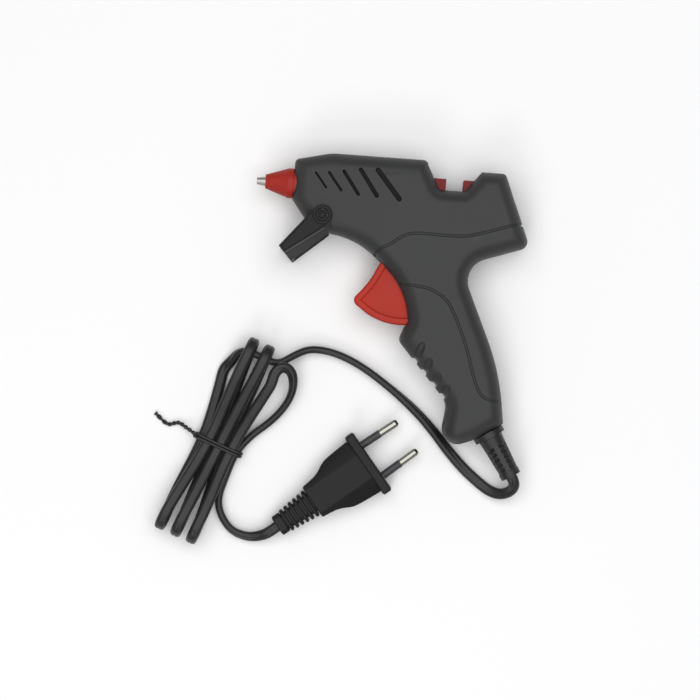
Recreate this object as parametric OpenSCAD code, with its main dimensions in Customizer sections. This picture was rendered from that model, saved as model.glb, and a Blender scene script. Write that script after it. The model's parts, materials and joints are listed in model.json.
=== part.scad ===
/* [Housing] */
// Half of the housing's thickness, from the parting plane to a flat side
body_half = 14; // [13:0.5:16]
// Wall thickness of the two shells
wall = 2; // [1.6:0.1:2.4]
// How far the rounded edge reaches in from the outline
edge_round = 7.5; // [6:0.5:8]
// Straight land beside the parting plane
edge_land = 3; // [2:0.5:4]
// Nozzle tip to the front face of the housing
nose_x = 18.4; // [17.4:0.2:19.4]
// Half thickness of the housing at its front face
nose_half = 9.5; // [9:0.1:10.5]
// Where the nose starts to taper
taper_x = 70; // [66:1:74]
// Barrel axis to the top of the housing
body_top = 16.3; // [15.5:0.1:18]
// Barrel axis to the floor of the loading notch
notch_floor = 2.3; // [1:0.1:3]
// Nozzle tip to the corner where the notch starts
notch_x = 83.9; // [82:0.1:86]
// Nozzle tip to the sharp corner of the tail
tail_x = 138.2; // [136:0.2:142]
// Barrel axis to the sharp corner of the grip's heel
grip_drop = 128.1; // [126:0.1:134]

/* [Vents and grooves] */
// Number of slanted vent slots on each side
vent_count = 5; // [3:1:5]
// Width of the first vent slot
vent_w = 1.3; // [1:0.1:1.6]
// How much wider each next slot is
vent_grow = 0.3; // [0.1:0.05:0.4]
// Width of the styling grooves
groove_w = 1.2; // [0.8:0.1:1.8]
// Depth of the styling grooves
groove_deep = 0.6; // [0.3:0.1:1]

/* [Screws] */
// Radius of the housing screws' shank
screw_r = 1.3; // [1:0.1:1.5]
// Radius of the housing screws' head
screw_head_r = 2.4; // [2.2:0.1:2.6]
// Height of the housing screws' head
screw_head_h = 1.8; // [1.2:0.1:2.2]
// Length of the housing screws under the head
screw_len = 14; // [12:0.5:15]
// Wall of plastic around each screw
boss_wall = 1.5; // [1.2:0.1:1.8]

/* [Nozzle and heater] */
// Bare length of the metal nozzle
tip_len = 4.3; // [3.5:0.1:5.5]
// Radius of the nozzle's front end
tip_r = 1.75; // [1.5:0.05:2]
// Radius of the nozzle where it enters the cap
tip_base_r = 2.45; // [2.2:0.05:2.8]
// Radius of the nozzle's stem inside the cap
stem_r = 3; // [2.9:0.05:3.4]
// Radius of the glue channel in the nozzle
channel_r = 0.9; // [0.6:0.05:1.2]
// Front radius of the heat guard cap
cap_front_r = 3.5; // [3.4:0.1:4]
// Largest radius of the heat guard cap
cap_r = 7.45; // [7.2:0.05:7.8]
// Length of the cap's straight land against the housing
cap_land = 2.4; // [1.5:0.1:3.5]
// Radius of the cap's neck in the housing's front hole
cap_neck_r = 6.6; // [6.4:0.1:6.9]
// Radius of the melt chamber's front end, inside the cap
chamber_nose_r = 5.5; // [5.2:0.1:5.7]
// Radius of the melt chamber
chamber_r = 6.2; // [5.9:0.1:6.6]
// Length of the melt chamber
chamber_len = 38; // [36:0.5:39]
// Radius of the glue stick passage
stick_r = 3.8; // [3.6:0.05:4]
// Width of the heater block under the chamber
block_w = 10; // [9:0.5:11]
// Length of the heater block
block_len = 20; // [18:1:21]
// Thickness of the heating tablet
tablet_h = 2.6; // [2:0.1:3]
// Thickness of each contact plate
contact_h = 0.5; // [0.4:0.05:0.7]
// Thickness of each insulating sheet
sheet_h = 0.25; // [0.2:0.05:0.4]
// Thickness of the spring clip
clip_h = 0.6; // [0.5:0.1:0.8]
// Length of the rubber sleeve behind the chamber
sleeve_len = 23; // [21:0.5:24]
// Outer radius of the rubber sleeve
sleeve_r = 5.4; // [5:0.1:5.6]

/* [Stick feed] */
// Length of the stick guide at the rear
guide_len = 9; // [8:0.5:9.5]
// Outer radius of the stick guide
guide_r = 5.5; // [5.2:0.1:5.8]
// Top of the feed carriage above the barrel axis
carriage_top = 7.5; // [6.5:0.1:8.5]
// Half width of the feed carriage
carriage_half = 6.4; // [6:0.1:7]
// Length of the carriage's front upright
upright_front = 10.2; // [9:0.1:11]
// Length of the carriage's rear upright
upright_rear = 8; // [7:0.5:9]
// Open space between the two uprights
upright_gap = 8.8; // [8:0.1:9.6]
// Thickness of the carriage's floor plate
plate_h = 3; // [2.5:0.1:3.5]

/* [Trigger] */
// Trigger pivot behind the nozzle tip
pivot_x = 77.5; // [76.5:0.1:78.5]
// Trigger pivot below the barrel axis
pivot_drop = 30.4; // [29.9:0.1:30.9]
// Radius of the trigger's lower edge about its pivot
trigger_r = 36.4; // [35.8:0.1:37]
// Half thickness of the trigger at its rim
trigger_half = 6; // [5:0.1:6.5]
// Depth of the recessed panels on the trigger's sides
panel_deep = 1; // [0.6:0.1:1.5]
// Width of the raised rim on the trigger
rim_w = 2.6; // [2:0.1:3.2]
// Pivot to the centre of the arm's tip
arm_len = 20.6; // [20:0.1:21.2]
// Radius of the arm's tip
arm_tip_r = 2.5; // [2.2:0.1:2.8]
// Half width of the trigger's arm across the gun
arm_half = 3; // [2.5:0.1:3.5]
// Angle that the trigger is pulled through
pull_angle = 18; // [14:1:18]
// Radius of the trigger pin
pin_r = 1.5; // [1.2:0.1:2]
// Wire radius of the return spring
spring_wire_r = 0.45; // [0.3:0.05:0.5]
// Coil radius of the return spring
spring_r = 2.8; // [2.4:0.1:3.2]
// Turns of the return spring
spring_turns = 7; // [5:1:8]

/* [Stand] */
// Stand pivot behind the nozzle tip
stand_x = 34; // [33:0.1:35]
// Stand pivot below the barrel axis
stand_drop = 15.1; // [14.6:0.1:15.6]
// Radius of the eye at the stand's pivot
eye_r = 4.85; // [4.5:0.05:5.2]
// Thickness of the stand's arms
arm_plate = 1.1; // [0.9:0.1:1.2]
// Height of the ridge and the eye's rim on the arms
arm_ridge = 0.7; // [0.5:0.1:0.7]
// Radius of the pivot rivets' shank
rivet_r = 1.6; // [1.3:0.1:1.9]
// Radius of the pivot rivets' head
rivet_head_r = 3.1; // [2.7:0.1:3.4]
// Thickness of the bar that joins the two arms
foot_bar = 2.4; // [2:0.1:3]

/* [Cord] */
// Width of the flat cord
cord_w = 5.6; // [5:0.1:5.6]
// Thickness of the flat cord
cord_h = 3.7; // [3.3:0.1:3.7]
// Number of loops in the hank
loops = 3; // [2:1:3]
// Radius of the guard's collar where it leaves the grip
guard_collar_r = 8; // [7:0.1:8.2]
// Radius of the guard's neck behind the collar
guard_rib_r = 6.2; // [5.8:0.05:6.6]
// Radius of the guard's last rib
guard_end_r = 4.8; // [4.6:0.1:5]
// Length of the guard outside the grip
guard_len = 25; // [23:0.5:27]
// Length of the guard's smooth collar and neck
guard_collar_len = 8; // [7:0.5:9]
// Number of ribs on the guard
guard_ribs = 5; // [4:1:6]
// Radius of the inner wires
wire_r = 0.9; // [0.7:0.05:0.95]
// Thickness of the tie on the hank
tie_h = 1; // [0.8:0.1:1.2]

/* [Plug] */
// Width of the plug's face
plug_w = 34.8; // [34:0.1:35.6]
// Thickness of the plug
plug_h = 13.8; // [13:0.1:14]
// Radius of the plug's pins
plug_pin_r = 2; // [1.9:0.05:2.1]
// Thickness of the plug's face plate
plug_plate = 5; // [4:0.1:6]
// Length of the pins outside the plug
plug_pin_len = 21.5; // [20:0.5:22]
// Spacing of the pins at the plug's face
pin_spacing = 18.6; // [18:0.1:19]
// Spacing of the pins at their tips
pin_spacing_tip = 17.5; // [17:0.1:18]
// Length of the insulating sleeves on the pins
pin_sleeve_len = 11; // [10:0.5:12]
// Wall of the insulating sleeves
pin_sleeve_wall = 0.5; // [0.4:0.05:0.6]

/* [Fits] */
// Radial clearance of pins that turn
turn_gap = 0.05; // [0.02:0.01:0.08]
// Radial clearance of pieces that are seated
seat_gap = 0.03; // [0.02:0.01:0.05]
// Clearance of the sliding carriage on its guides
slide_gap = 0.25; // [0.2:0.05:0.4]
// Clearance of moving pieces in the slots of the housing
slot_gap = 0.5; // [0.4:0.05:0.7]

/* [Hidden] */
$fn = 48;
charcoal = [0.20, 0.21, 0.22];
red = [0.72, 0.16, 0.13];
dark_red = [0.52, 0.14, 0.13];
cord_black = [0.07, 0.07, 0.08];
steel = [0.75, 0.76, 0.78];
alloy = [0.66, 0.67, 0.69];
cream = [0.90, 0.87, 0.80];
corner_steps = 4;
edge_steps = 4;
least_r = 0.3;
shell_steps = 20;
big = 200;
bite = 0.4;

// Corners of the housing's side view as [x, y, corner radius], clockwise from the nose's top.
// The barrel axis is y = 0 and the nozzle tip is x = 0.
heel = [99.9, -grip_drop];
heel_up = [2.9, 24.5];
back_bow = [27.9, 42.1];
back_bow_r = 120;
grip_end_back = [31.7, 16.1];
grip_end_front = [17.1, 6.8];
waist = [104.5, -34.9];
notch_front = 7.3;
notch_back = 19.6;
notch_end = 27.2;
tail_run = 14.6;
tail_top = 12.4;
housing_corners = [
  [nose_x, 12, 2.5],
  [nose_x + 18.1, body_top, 25],
  [notch_x, body_top, 3],
  [notch_x + notch_front, notch_floor, 2],
  [notch_x + notch_back, notch_floor, 2],
  [notch_x + notch_end, tail_top, 2.5],
  [tail_x - tail_run, tail_top, 2.5],
  [tail_x, -23.2, 4],
  [waist[0], waist[1], 11.5],
  [heel[0] + back_bow[0], heel[1] + back_bow[1], back_bow_r],
  [heel[0] + grip_end_back[0], heel[1] + grip_end_back[1], 1.5],
  [heel[0] + grip_end_front[0], heel[1] + grip_end_front[1], 3],
  [heel[0], heel[1], 7.8],
  [heel[0] + heel_up[0], heel[1] + heel_up[1], 8],
  [76.2, -74.1, 4],
  [80, -64.3, 3],
  [78, -50, 38],
  [53.8, -25.8, 41],
  [29.2, -22.3, 6],
  [nose_x, -8.2, 1.5]
];

// Direction from corner i to the next, the inward normal of an edge, and a corner moved inwards by d
function unit(v) = v / norm(v);
function at(list, i) = list[(i + len(list)) % len(list)];
function flat(p) = [p[0], p[1]];
function edge_dir(c, i) = unit(flat(at(c, i + 1)) - flat(at(c, i)));
function inward(d) = [d[1], -d[0]];
function turn_of(a, b) = a[0] * b[1] - a[1] * b[0];
function corner_in(c, i, d) =
  let (n1 = inward(edge_dir(c, i - 1)), n2 = inward(edge_dir(c, i)))
  flat(at(c, i)) + (n1 + n2) / (1 + n1 * n2) * d;

// Arc at corner i of an outline that lies d inside the given corners
function corner_arc(c, i, d) =
  let (
    a = edge_dir(c, i - 1),
    b = edge_dir(c, i),
    convex = turn_of(a, b) < 0,
    r = convex ? max(at(c, i)[2] - d, least_r) : at(c, i)[2] + d,
    angle = acos(max(-1, min(1, a * b))),
    start = corner_in(c, i, d) - a * r * tan(angle / 2),
    side = convex ? -1 : 1,
    middle = start - inward(a) * r * side
  )
  [for (k = [0:corner_steps])
    let (t = side * angle * k / corner_steps, v = start - middle)
    middle + [v[0] * cos(t) - v[1] * sin(t), v[0] * sin(t) + v[1] * cos(t)]];
function outline(c, d) = [for (i = [0:len(c) - 1]) each corner_arc(c, i, d)];

// The object's middle in the side view, from its outline and the nozzle tip
housing_points = outline(housing_corners, 0);
housing_xs = [for (p = housing_points) p[0]];
housing_ys = [for (p = housing_points) p[1]];
middle_x = max(housing_xs) / 2;
middle_y = (max(housing_ys) + min(housing_ys)) / 2;

// Half thickness of the housing at a place along the barrel
taper = (body_half - nose_half) / (taper_x - nose_x);
function side_z(x) = body_half - max(0, taper_x - x) * taper;
function inner_z(x) = side_z(x) - wall;

// Stations along the barrel
fit = 0.2;
cap_back = nose_x - fit;
cap_shoulder = cap_back - cap_land;
chamber_x0 = nose_x - 4.4;
chamber_x1 = chamber_x0 + chamber_len;
stem_x1 = chamber_x0 + 6;
chamber_step = nose_x + wall + 2.6;
flange_x0 = nose_x + wall + fit;
flange_x1 = chamber_step - fit;
cap_flange_r = cap_neck_r + 0.5;
room_r = cap_flange_r + fit;
room_x1 = flange_x1 + fit;
block_x0 = chamber_step + 4;
block_x1 = block_x0 + block_len;
sleeve_x1 = chamber_x1 + sleeve_len;
feed_travel = arm_len * sin(pull_angle);
carriage_x0 = sleeve_x1 + feed_travel + 2.6;
front_x1 = carriage_x0 + upright_front;
rear_x0 = front_x1 + upright_gap;
rear_x1 = rear_x0 + upright_rear;
guide_x0 = tail_x - 21.2;
guide_x1 = guide_x0 + guide_len;

// Heights of the stacked heater, from the floor of its slot upwards
slot_y0 = -chamber_r - 4.8;
lower_contact_y = slot_y0 + sheet_h;
tablet_y = lower_contact_y + contact_h;
upper_contact_y = tablet_y + tablet_h;
upper_sheet_y = upper_contact_y + contact_h;
slot_y1 = upper_sheet_y + sheet_h + fit / 2;
block_y0 = slot_y0 - 2;
slot_half = block_w / 2 - 0.8;
tab_x1 = block_x1 + 7;
tab_w = 2.5;
tab_z = 1.75;
crimp_r = 1.3;
crimp_len = 4;

// Places and sizes of the ribs, bosses and pins inside the shells
rib_w = 2;
saddle_open = 0.5;
saddle_high = 9;
saddles = [
  [chamber_step + 1.5, chamber_r],
  [chamber_x1 - 2, chamber_r],
  [sleeve_x1 - 6, sleeve_r],
  [guide_x0 + 3.7, guide_r]
];
heel_screw = [11.1, 30];
screw_places = [[50, -17], [101, -27], [124, -19], heel + heel_screw];
boss_r = screw_head_r + boss_wall;
screw_seat = 6;
pivot_y = -pivot_drop;
pivot_boss_r = pin_r + 2.5;
pivot_boss_z = trigger_half + slot_gap + 0.1;
pin_half = body_half - wall - 1.5;
plate_mid = pivot_y + arm_len;
plate_y0 = plate_mid - plate_h / 2;
plate_y1 = plate_mid + plate_h / 2;
plate_x0 = pivot_x - arm_tip_r - 2.5;
shelf_x0 = 88;
shelf_h = 2;
shelf_z = 4.5;
spring_y = -18;
spring_post_x = 62.5;
arm_front = pivot_x - arm_tip_r + 0.3;
rear_hole_r = guide_r + fit;
stand_y = -stand_drop;
arm_z0 = side_z(stand_x + 12) + fit;
arm_z1 = arm_z0 + arm_plate;
arm_top = arm_z1 + arm_ridge;
rivet_head_h = 0.8;
rivet_seat = arm_top - rivet_head_h - 0.05;
rivet_in = 3;

// The guard's place on the grip's end, and its direction
guard_a = flat(housing_corners[10]);
guard_b = flat(housing_corners[11]);
guard_dir = -inward(unit(guard_b - guard_a));
guard_side = unit(guard_a - guard_b);
guard_at = (guard_a + guard_b) / 2;
guard_angle = atan2(guard_dir[1], guard_dir[0]);
guard_neck_r = 4.6;
guard_root = wall + 2.5;
guard_tip = guard_at + guard_dir * guard_len;
clamp_at = guard_at - guard_dir * 11;

// Cord places on the floor: the hank's waist, its direction and its loops
floor_z = -body_half;
cord_floor = floor_z + cord_h / 2;
hank_at = [-10, -133.5];
hank_angle = 249.6;
hank_dir = [cos(hank_angle), sin(hank_angle)];
hank_side = [-hank_dir[1], hank_dir[0]];
hank_upper = 57;
hank_lower = 51;
hank_fold_r = 6.5;
hank_pitch = 6.1;
hank_pitch_end = 8.6;
hank_middle = 1.1;
hank_layer = cord_h + 0.7;
hank_lift = tie_h + 0.4;
run_steps = 8;
fold_steps = 4;
loop_steps = 2 * (run_steps + fold_steps);
cord_sides = 8;
hank_sides = 6;

// The plug's place, direction and outline as [distance behind the face, half width, corner radius]
plug_at = [68, -135.5];
plug_angle = 39;
plug_z = floor_z + plug_h / 2;
plug_body_len = 36.5;
plug_guard_len = 21.5;
plug_panel = 6.6;
plug_edge_h = 6;
plug_corners = [
  [0, plug_w / 2, 1.2],
  [0, -plug_w / 2, 1.2],
  [-plug_plate, -plug_w / 2, 1.2],
  [-plug_plate - 0.8, -15.2, 0.5],
  [-14.5, -14.6, 6],
  [-21.5, -13.6, 5],
  [-27.5, -9.9, 5],
  [-plug_body_len, -9, 0.5],
  [-plug_body_len, 9, 0.5],
  [-27.5, 9.9, 5],
  [-21.5, 13.6, 5],
  [-14.5, 14.6, 6],
  [-plug_plate - 0.8, 15.2, 0.5],
  [-plug_plate, plug_w / 2, 1.2]
];
pin_tilt = atan((pin_spacing - pin_spacing_tip) / 2 / plug_pin_len);
pin_root = 6;
plug_dir = [cos(plug_angle), sin(plug_angle)];
plug_rear = plug_at - plug_dir * (plug_body_len + plug_guard_len);

// Routes of the cord's free stretches as [x, y, z, turn of the flat section], chosen by hand
lead_points = [
  [139.8, -143.2, -2.6, 0], [137.2, -146.4, -6.2, 0], [132.4, -147.7, -9.4, 0], [127, -145.9, -11.4, 0],
  [121, -141.7, -12.1, 0], [114, -136, -12, 10], [106, -128, -11.85, 26], [98, -119, -11.55, 46],
  [90, -111, -11.35, 58], [81, -103.5, -11.2, 74], [72, -97, -11.15, 86], [62, -90.5, -11.15, 90],
  [52, -85.5, -11.15, 90], [42, -82.5, -11.1, 90], [32, -82.3, -10.2, 90], [24.5, -86, -8.4, 90],
  [17, -90.3, -6.8, 90], [9, -87.9, -6, 90], [1.5, -85.2, -6.2, 90], [-3.8, -86.8, -8, 75],
  [-6.6, -91.2, -10.4, 35]
];
tail_points = [
  [16.2, -94.6, 0.2, 0], [20.2, -91.6, -0.6, 15], [24.3, -94.2, -2.8, 40], [25.6, -100.2, -5.4, 65],
  [24.3, -107.2, -8.2, 85], [20.2, -114.4, -10.4, 90], [14, -121.2, -11.1, 90], [6.6, -127.6, -11.1, 90],
  [-0.7, -137, -10, 90], [-4.7, -148.2, -11.1, 90], [-7.8, -160, -11.1, 90], [-6, -168.5, -11.1, 85],
  [0, -176, -11.2, 75], [9, -178.6, -10.6, 55], [16, -177, -8.6, 20]
];
tie_tail_points = [
  [-21.2, -129.3, -9], [-26, -126.5, -11], [-31, -124, -12.6], [-36.5, -125, -13.2], [-43, -120, -13.2]
];
live_points = [
  [121, -97, 3], [113, -85, 7], [106, -70, 9], [101, -56, 9], [97, -42, 9], [90, -28, 9],
  [80, -20, 9], [70, -16, 8], [64, -12, 5]
];
neutral_points = [
  [118, -98, -3], [110, -85, -7], [103, -70, -9], [98, -56, -9], [94, -42, -9], [88, -29, -9],
  [79, -21, -9], [70, -17, -8], [64, -13, -5]
];

// A point list smoothed by a curve through its points, with a fixed number of steps between them
function curve_at(a, b, c, d, t) =
  0.5 * (2 * b + (c - a) * t + (2 * a - 5 * b + 4 * c - d) * t * t + (3 * b - a - 3 * c + d) * t * t * t);
function curve(p, steps) = [
  for (i = [0:len(p) - 2], k = [0:steps - 1])
    curve_at(p[max(i - 1, 0)], p[i], p[i + 1], p[min(i + 2, len(p) - 1)], k / steps),
  p[len(p) - 1]
];
function tangents(p) = [
  for (i = [0:len(p) - 1]) unit(p[min(i + 1, len(p) - 1)] - p[max(i - 1, 0)])
];
function level_sides(t) = [for (v = t) unit(cross([0, 0, 1], v))];
function fixed_sides(t, s) = [for (v = t) unit(s - v * (v * s))];
function rolled_sides(t, line) = [
  for (i = [0:len(t) - 1])
    let (s = unit(cross([0, 0, 1], t[i])))
    s * cos(line[i][3]) + cross(t[i], s) * sin(line[i][3])
];
function places(line) = [for (p = line) [p[0], p[1], p[2]]];
function with_turn(p, turn) = [p[0], p[1], p[2], turn];
function section(c, t, s, w, h, n) =
  let (up = cross(t, s))
  [for (k = [0:n - 1]) c + s * w / 2 * cos(360 * k / n) + up * h / 2 * sin(360 * k / n)];

// A closed tube of oval section along a point list
module tube(p, sides, w, h, n) {
  t = tangents(p);
  rings = len(p);
  points = [for (i = [0:rings - 1]) each section(p[i], t[i], sides[i], w, h, n)];
  walls = [
    for (i = [0:rings - 2], k = [0:n - 1])
      let (a = i * n + k, b = i * n + (k + 1) % n)
      each [[a, a + n, b], [b, a + n, b + n]]
  ];
  last = (rings - 1) * n;
  ends = [for (k = [1:n - 2]) each [[0, k, k + 1], [last, last + k + 1, last + k]]];
  polyhedron(points, concat(walls, ends));
}

// The whole gun in its own frame: resting on its right side, middle of its side view at the origin
module gun() {
  translate([-middle_x, -middle_y, body_half]) children();
}

// A turned piece on the barrel axis, from [radius, station] points
module turned(profile) {
  rotate([0, 90, 0]) rotate_extrude($fn = 64) polygon(profile);
}

// A plate cut from a side view, between two heights
module slab(z0, z1) {
  translate([0, 0, z0]) linear_extrude(z1 - z0) children();
}

// A round bar across the gun
module bar(place, r, z0, z1) {
  translate([place[0], place[1], z0]) cylinder(h = z1 - z0, r = r);
}

// A box from its two opposite corners
module block(low, high) {
  translate(low) cube(high - low);
}

// The rounded wall around the housing's outline, as rings of [inset, height, full height at that side]
function edge_ring(k, steps, r, z) =
  [r * (1 - cos(90 * k / steps)), edge_land + (z - edge_land) * sin(90 * k / steps), z];
inner_steps = 2;
inner_half = body_half - wall;
flat_in = edge_round + 1.2;
edge_profile = concat(
  [[0, 0, body_half]],
  [for (k = [0:edge_steps]) edge_ring(k, edge_steps, edge_round, body_half)],
  [[flat_in, body_half, body_half], [flat_in, inner_half, inner_half]],
  [for (k = [inner_steps:-1:0])
    let (e = edge_ring(k, inner_steps, edge_round - wall, inner_half))
    [e[0] + wall, e[1], inner_half]],
  [[wall, 0, inner_half]]
);
module shell_edge() {
  rings = [
    for (e = edge_profile)
      [for (p = outline(housing_corners, e[0])) [p[0], p[1], e[1] * (side_z(p[0]) - body_half + e[2]) / e[2]]]
  ];
  count = len(rings[0]);
  total = len(rings);
  faces = [
    for (i = [0:total - 1], k = [0:count - 1])
      let (
        a = i * count + k,
        b = i * count + (k + 1) % count,
        c = ((i + 1) % total) * count + k,
        d = ((i + 1) % total) * count + (k + 1) % count
      )
      each [[a, b, c], [b, d, c]]
  ];
  polyhedron([for (r = rings) each r], faces);
}

// The side of a shell, a little below its rim: level behind the taper, sloping towards the nose
panel_drop = 0.15;
module side_panel(x0, x1) {
  slab(inner_half + panel_drop, body_half - panel_drop) intersection() {
    polygon(outline(housing_corners, edge_round + 0.6));
    translate([x0, -big]) square([x1 - x0, 2 * big]);
  }
}
module shell_side() {
  side_panel(taper_x - 1, big);
  multmatrix([[1, 0, 0, 0], [0, 1, 0, 0], [taper, 0, 1, -taper * taper_x], [0, 0, 0, 1]])
    side_panel(0, taper_x - panel_drop);
}

// A pie slice about the trigger's pivot
module trigger_sweep(r) {
  first = 197;
  last = 293;
  translate([pivot_x, pivot_y])
    polygon(concat([[0, 0]], [for (a = [first:2:last]) r * [cos(a), sin(a)]]));
}

// A slot with round ends between two places in the side view
module slot(a, b, w) {
  along = b - a;
  translate(a) circle(d = w);
  translate(b) circle(d = w);
  translate(a) rotate(atan2(along[1], along[0])) translate([0, -w / 2]) square([norm(along), w]);
}

// A groove's footprint along a smoothed point list
module stroke(p, w) {
  line = curve(p, 4);
  t = tangents(line);
  polygon(concat(
    [for (i = [0:len(line) - 1]) line[i] + inward(t[i]) * w / 2],
    [for (i = [len(line) - 1:-1:0]) line[i] - inward(t[i]) * w / 2]
  ));
}
upper_groove = [
  [68.5, -27], [73.6, -22.6], [79, -20.2], [94, -20.1], [105, -19.5], [118, -16], [125.5, -13.8]
];
lower_groove = [
  [85.5, -46.4], [91, -47.6], [98.6, -52.3], [104.7, -62.5], [110.4, -75.9], [114.3, -87.9], [118, -95.6]
];
vent_first = [28.6, 6.5];
vent_step = [7.2, 0.75];
vent_reach = [6.4, -8.2];
vent_reach_grow = [1.4, -1.5];

// Ribs and bosses that stand on the inside of both shells
module shell_inside() {
  intersection() {
    translate([nose_x, 0, 0]) rotate([0, 90, 0])
      cylinder(h = room_x1 - nose_x + 0.5, r = room_r + 0.85, $fn = 40);
    block([0, -big, 0], [big, big, big]);
  }
  for (s = saddles)
    block(
      [s[0] - rib_w / 2, saddle_open - s[1], 0],
      [s[0] + rib_w / 2, saddle_high, inner_z(s[0] - rib_w / 2) + bite]
    );
  for (p = screw_places) bar(p, boss_r, 0, inner_z(p[0]) + bite);
  bar([pivot_x, pivot_y], pivot_boss_r, pivot_boss_z, inner_z(pivot_x) + bite);
  spring_wall_x = spring_post_x - rib_w;
  block([spring_wall_x, spring_y - 4, 0], [spring_post_x, spring_y + 4, inner_z(spring_wall_x) + bite]);
  block(
    [shelf_x0, plate_y0 - slide_gap - shelf_h, shelf_z],
    [rear_x1 + 2, plate_y0 - slide_gap, inner_z(shelf_x0) + bite]
  );
  bar([stand_x, stand_y], rivet_head_r + 0.4, inner_z(stand_x) - rivet_in, arm_z0 - fit / 2);
}

// The carriage's room inside the notch: how far it passes the notch's front and floor, and its ends
slot_over = 3;
slot_under = 3;
slot_floor_end = 25;
slot_end = 29;

// Slots and grooves that both shells share
module shell_slots() {
  slab(-1, trigger_half + slot_gap) trigger_sweep(trigger_r + slot_gap);
  slab(-1, carriage_half + slot_gap)
    polygon([
      [notch_x - slot_over, carriage_top + 1.5], [notch_x + 1, notch_floor - wall - slot_under],
      [notch_x + slot_floor_end, notch_floor - wall - slot_under], [notch_x + slot_end, carriage_top + 1.5],
      [notch_x + slot_end - slot_over, body_top], [notch_x + 2, body_top]
    ]);
  slab(inner_z(vent_first[0]) - 2, body_half + 1)
    for (i = [0:vent_count - 1]) {
      a = vent_first + vent_step * i;
      slot(a, a + vent_reach + vent_reach_grow * i, vent_w + vent_grow * i);
    }
  slab(body_half - groove_deep, body_half + 1) {
    stroke(upper_groove, groove_w);
    stroke(lower_groove, groove_w);
  }
}

// Round holes that both shells share
module shell_holes() {
  turned([
    [0, 0], [cap_neck_r + seat_gap, 0], [cap_neck_r + seat_gap, nose_x + wall], [room_r, nose_x + wall],
    [room_r, room_x1], [0, room_x1]
  ]);
  for (s = saddles)
    translate([s[0] - rib_w, 0, 0]) rotate([0, 90, 0]) cylinder(h = 2 * rib_w, r = s[1] + seat_gap);
  translate([guide_x1 - 3.4, 0, 0]) rotate([0, 90, 0]) cylinder(h = 22, r = rear_hole_r);
  translate([guard_at[0], guard_at[1], 0]) rotate([0, 0, guard_angle]) rotate([0, 90, 0])
    translate([0, 0, -wall - 2]) cylinder(h = wall + 4, r = guard_neck_r + seat_gap);
  translate([guard_at[0], guard_at[1], 0]) rotate([0, 0, guard_angle]) rotate([0, 90, 0])
    translate([0, 0, -guard_root - fit]) cylinder(h = guard_root - wall, r = guard_neck_r + 1.2 + fit);
  bar([pivot_x, pivot_y], pin_r + seat_gap, 0, pin_half + fit);
  bar([stand_x, stand_y], rivet_r + seat_gap, inner_z(stand_x) - rivet_in - 1, body_half + 1);
}

module shell() {
  difference() {
    resize([0, 0, body_half]) difference() {
      union() {
        shell_edge();
        shell_side();
        shell_inside($fn = shell_steps);
      }
      shell_slots($fn = shell_steps);
    }
    shell_holes();
  }
}

module housing_left() {
  color(charcoal) gun() difference() {
    shell();
    for (p = screw_places) bar(p, screw_r + seat_gap, -1, screw_len - screw_seat + 1);
  }
}

module housing_right() {
  color(charcoal) gun() difference() {
    union() {
      mirror([0, 0, 1]) shell();
      for (s = [-1, 1])
        bar(clamp_at + guard_side * clamp_screw_side * s, clamp_boss_r, -inner_z(clamp_at[0]) - bite, clamp_z);
    }
    for (p = screw_places) {
      bar(p, screw_r + 2 * seat_gap, -body_half - 1, 1);
      bar(p, screw_head_r + fit, -body_half - 1, -screw_seat);
    }
    for (s = [-1, 1])
      bar(clamp_at + guard_side * clamp_screw_side * s, clamp_screw_r + seat_gap, -clamp_screw_len, clamp_z + 1);
  }
}

module housing_screws() {
  cross_len = screw_head_r * 1.2;
  cross_w = 0.6;
  cross_depth = 0.8;
  color(steel) gun() for (p = screw_places) {
    bar(p, screw_r, -screw_seat, screw_len - screw_seat);
    difference() {
      bar(p, screw_head_r, -screw_seat - screw_head_h, -screw_seat);
      for (a = [0, 90])
        translate([p[0], p[1], -screw_seat - screw_head_h]) rotate(a)
          cube([cross_len, cross_w, 2 * cross_depth], center = true);
    }
  }
}

module nozzle_tip() {
  color(alloy) gun() turned([
    [channel_r, 0], [tip_r, 0], [tip_base_r, tip_len], [stem_r, tip_len],
    [stem_r, stem_x1 - seat_gap], [channel_r, stem_x1 - seat_gap]
  ]);
}

module nozzle_cap() {
  in_r = stem_r + seat_gap;
  hollow_r = chamber_nose_r + seat_gap;
  color(red) gun() turned([
    [in_r, tip_len + seat_gap], [cap_front_r, tip_len + seat_gap], [cap_r, cap_shoulder], [cap_r, cap_back],
    [cap_neck_r, cap_back], [cap_neck_r, flange_x0], [cap_flange_r, flange_x0], [cap_flange_r, flange_x1],
    [hollow_r, flange_x1], [hollow_r, chamber_x0 - fit], [in_r, chamber_x0 - fit]
  ]);
}

module melt_chamber() {
  color(alloy) gun() difference() {
    union() {
      turned([
        [0, chamber_x0], [chamber_nose_r, chamber_x0], [chamber_nose_r, chamber_step],
        [chamber_r, chamber_step], [chamber_r, chamber_x1], [0, chamber_x1]
      ]);
      block([block_x0, block_y0, -block_w / 2], [block_x1, -stick_r - 0.6, block_w / 2]);
    }
    turned([
      [0, chamber_x0 - 1], [stem_r + seat_gap, chamber_x0 - 1], [stem_r + seat_gap, stem_x1], [0, stem_x1]
    ]);
    turned([
      [0, stem_x1 - 1], [channel_r, stem_x1 - 1], [channel_r, stem_x1 + 2], [stick_r, stem_x1 + 7],
      [stick_r, chamber_x1 + 1], [0, chamber_x1 + 1]
    ]);
    block([block_x0 - 1, slot_y0, -slot_half], [block_x1 + 1, slot_y1, slot_half]);
  }
}

module heating_tablet() {
  color(cream) gun()
    block([block_x0 + 2, tablet_y, -slot_half + 1], [block_x1 - 2, tablet_y + tablet_h, slot_half - 1]);
}

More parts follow.
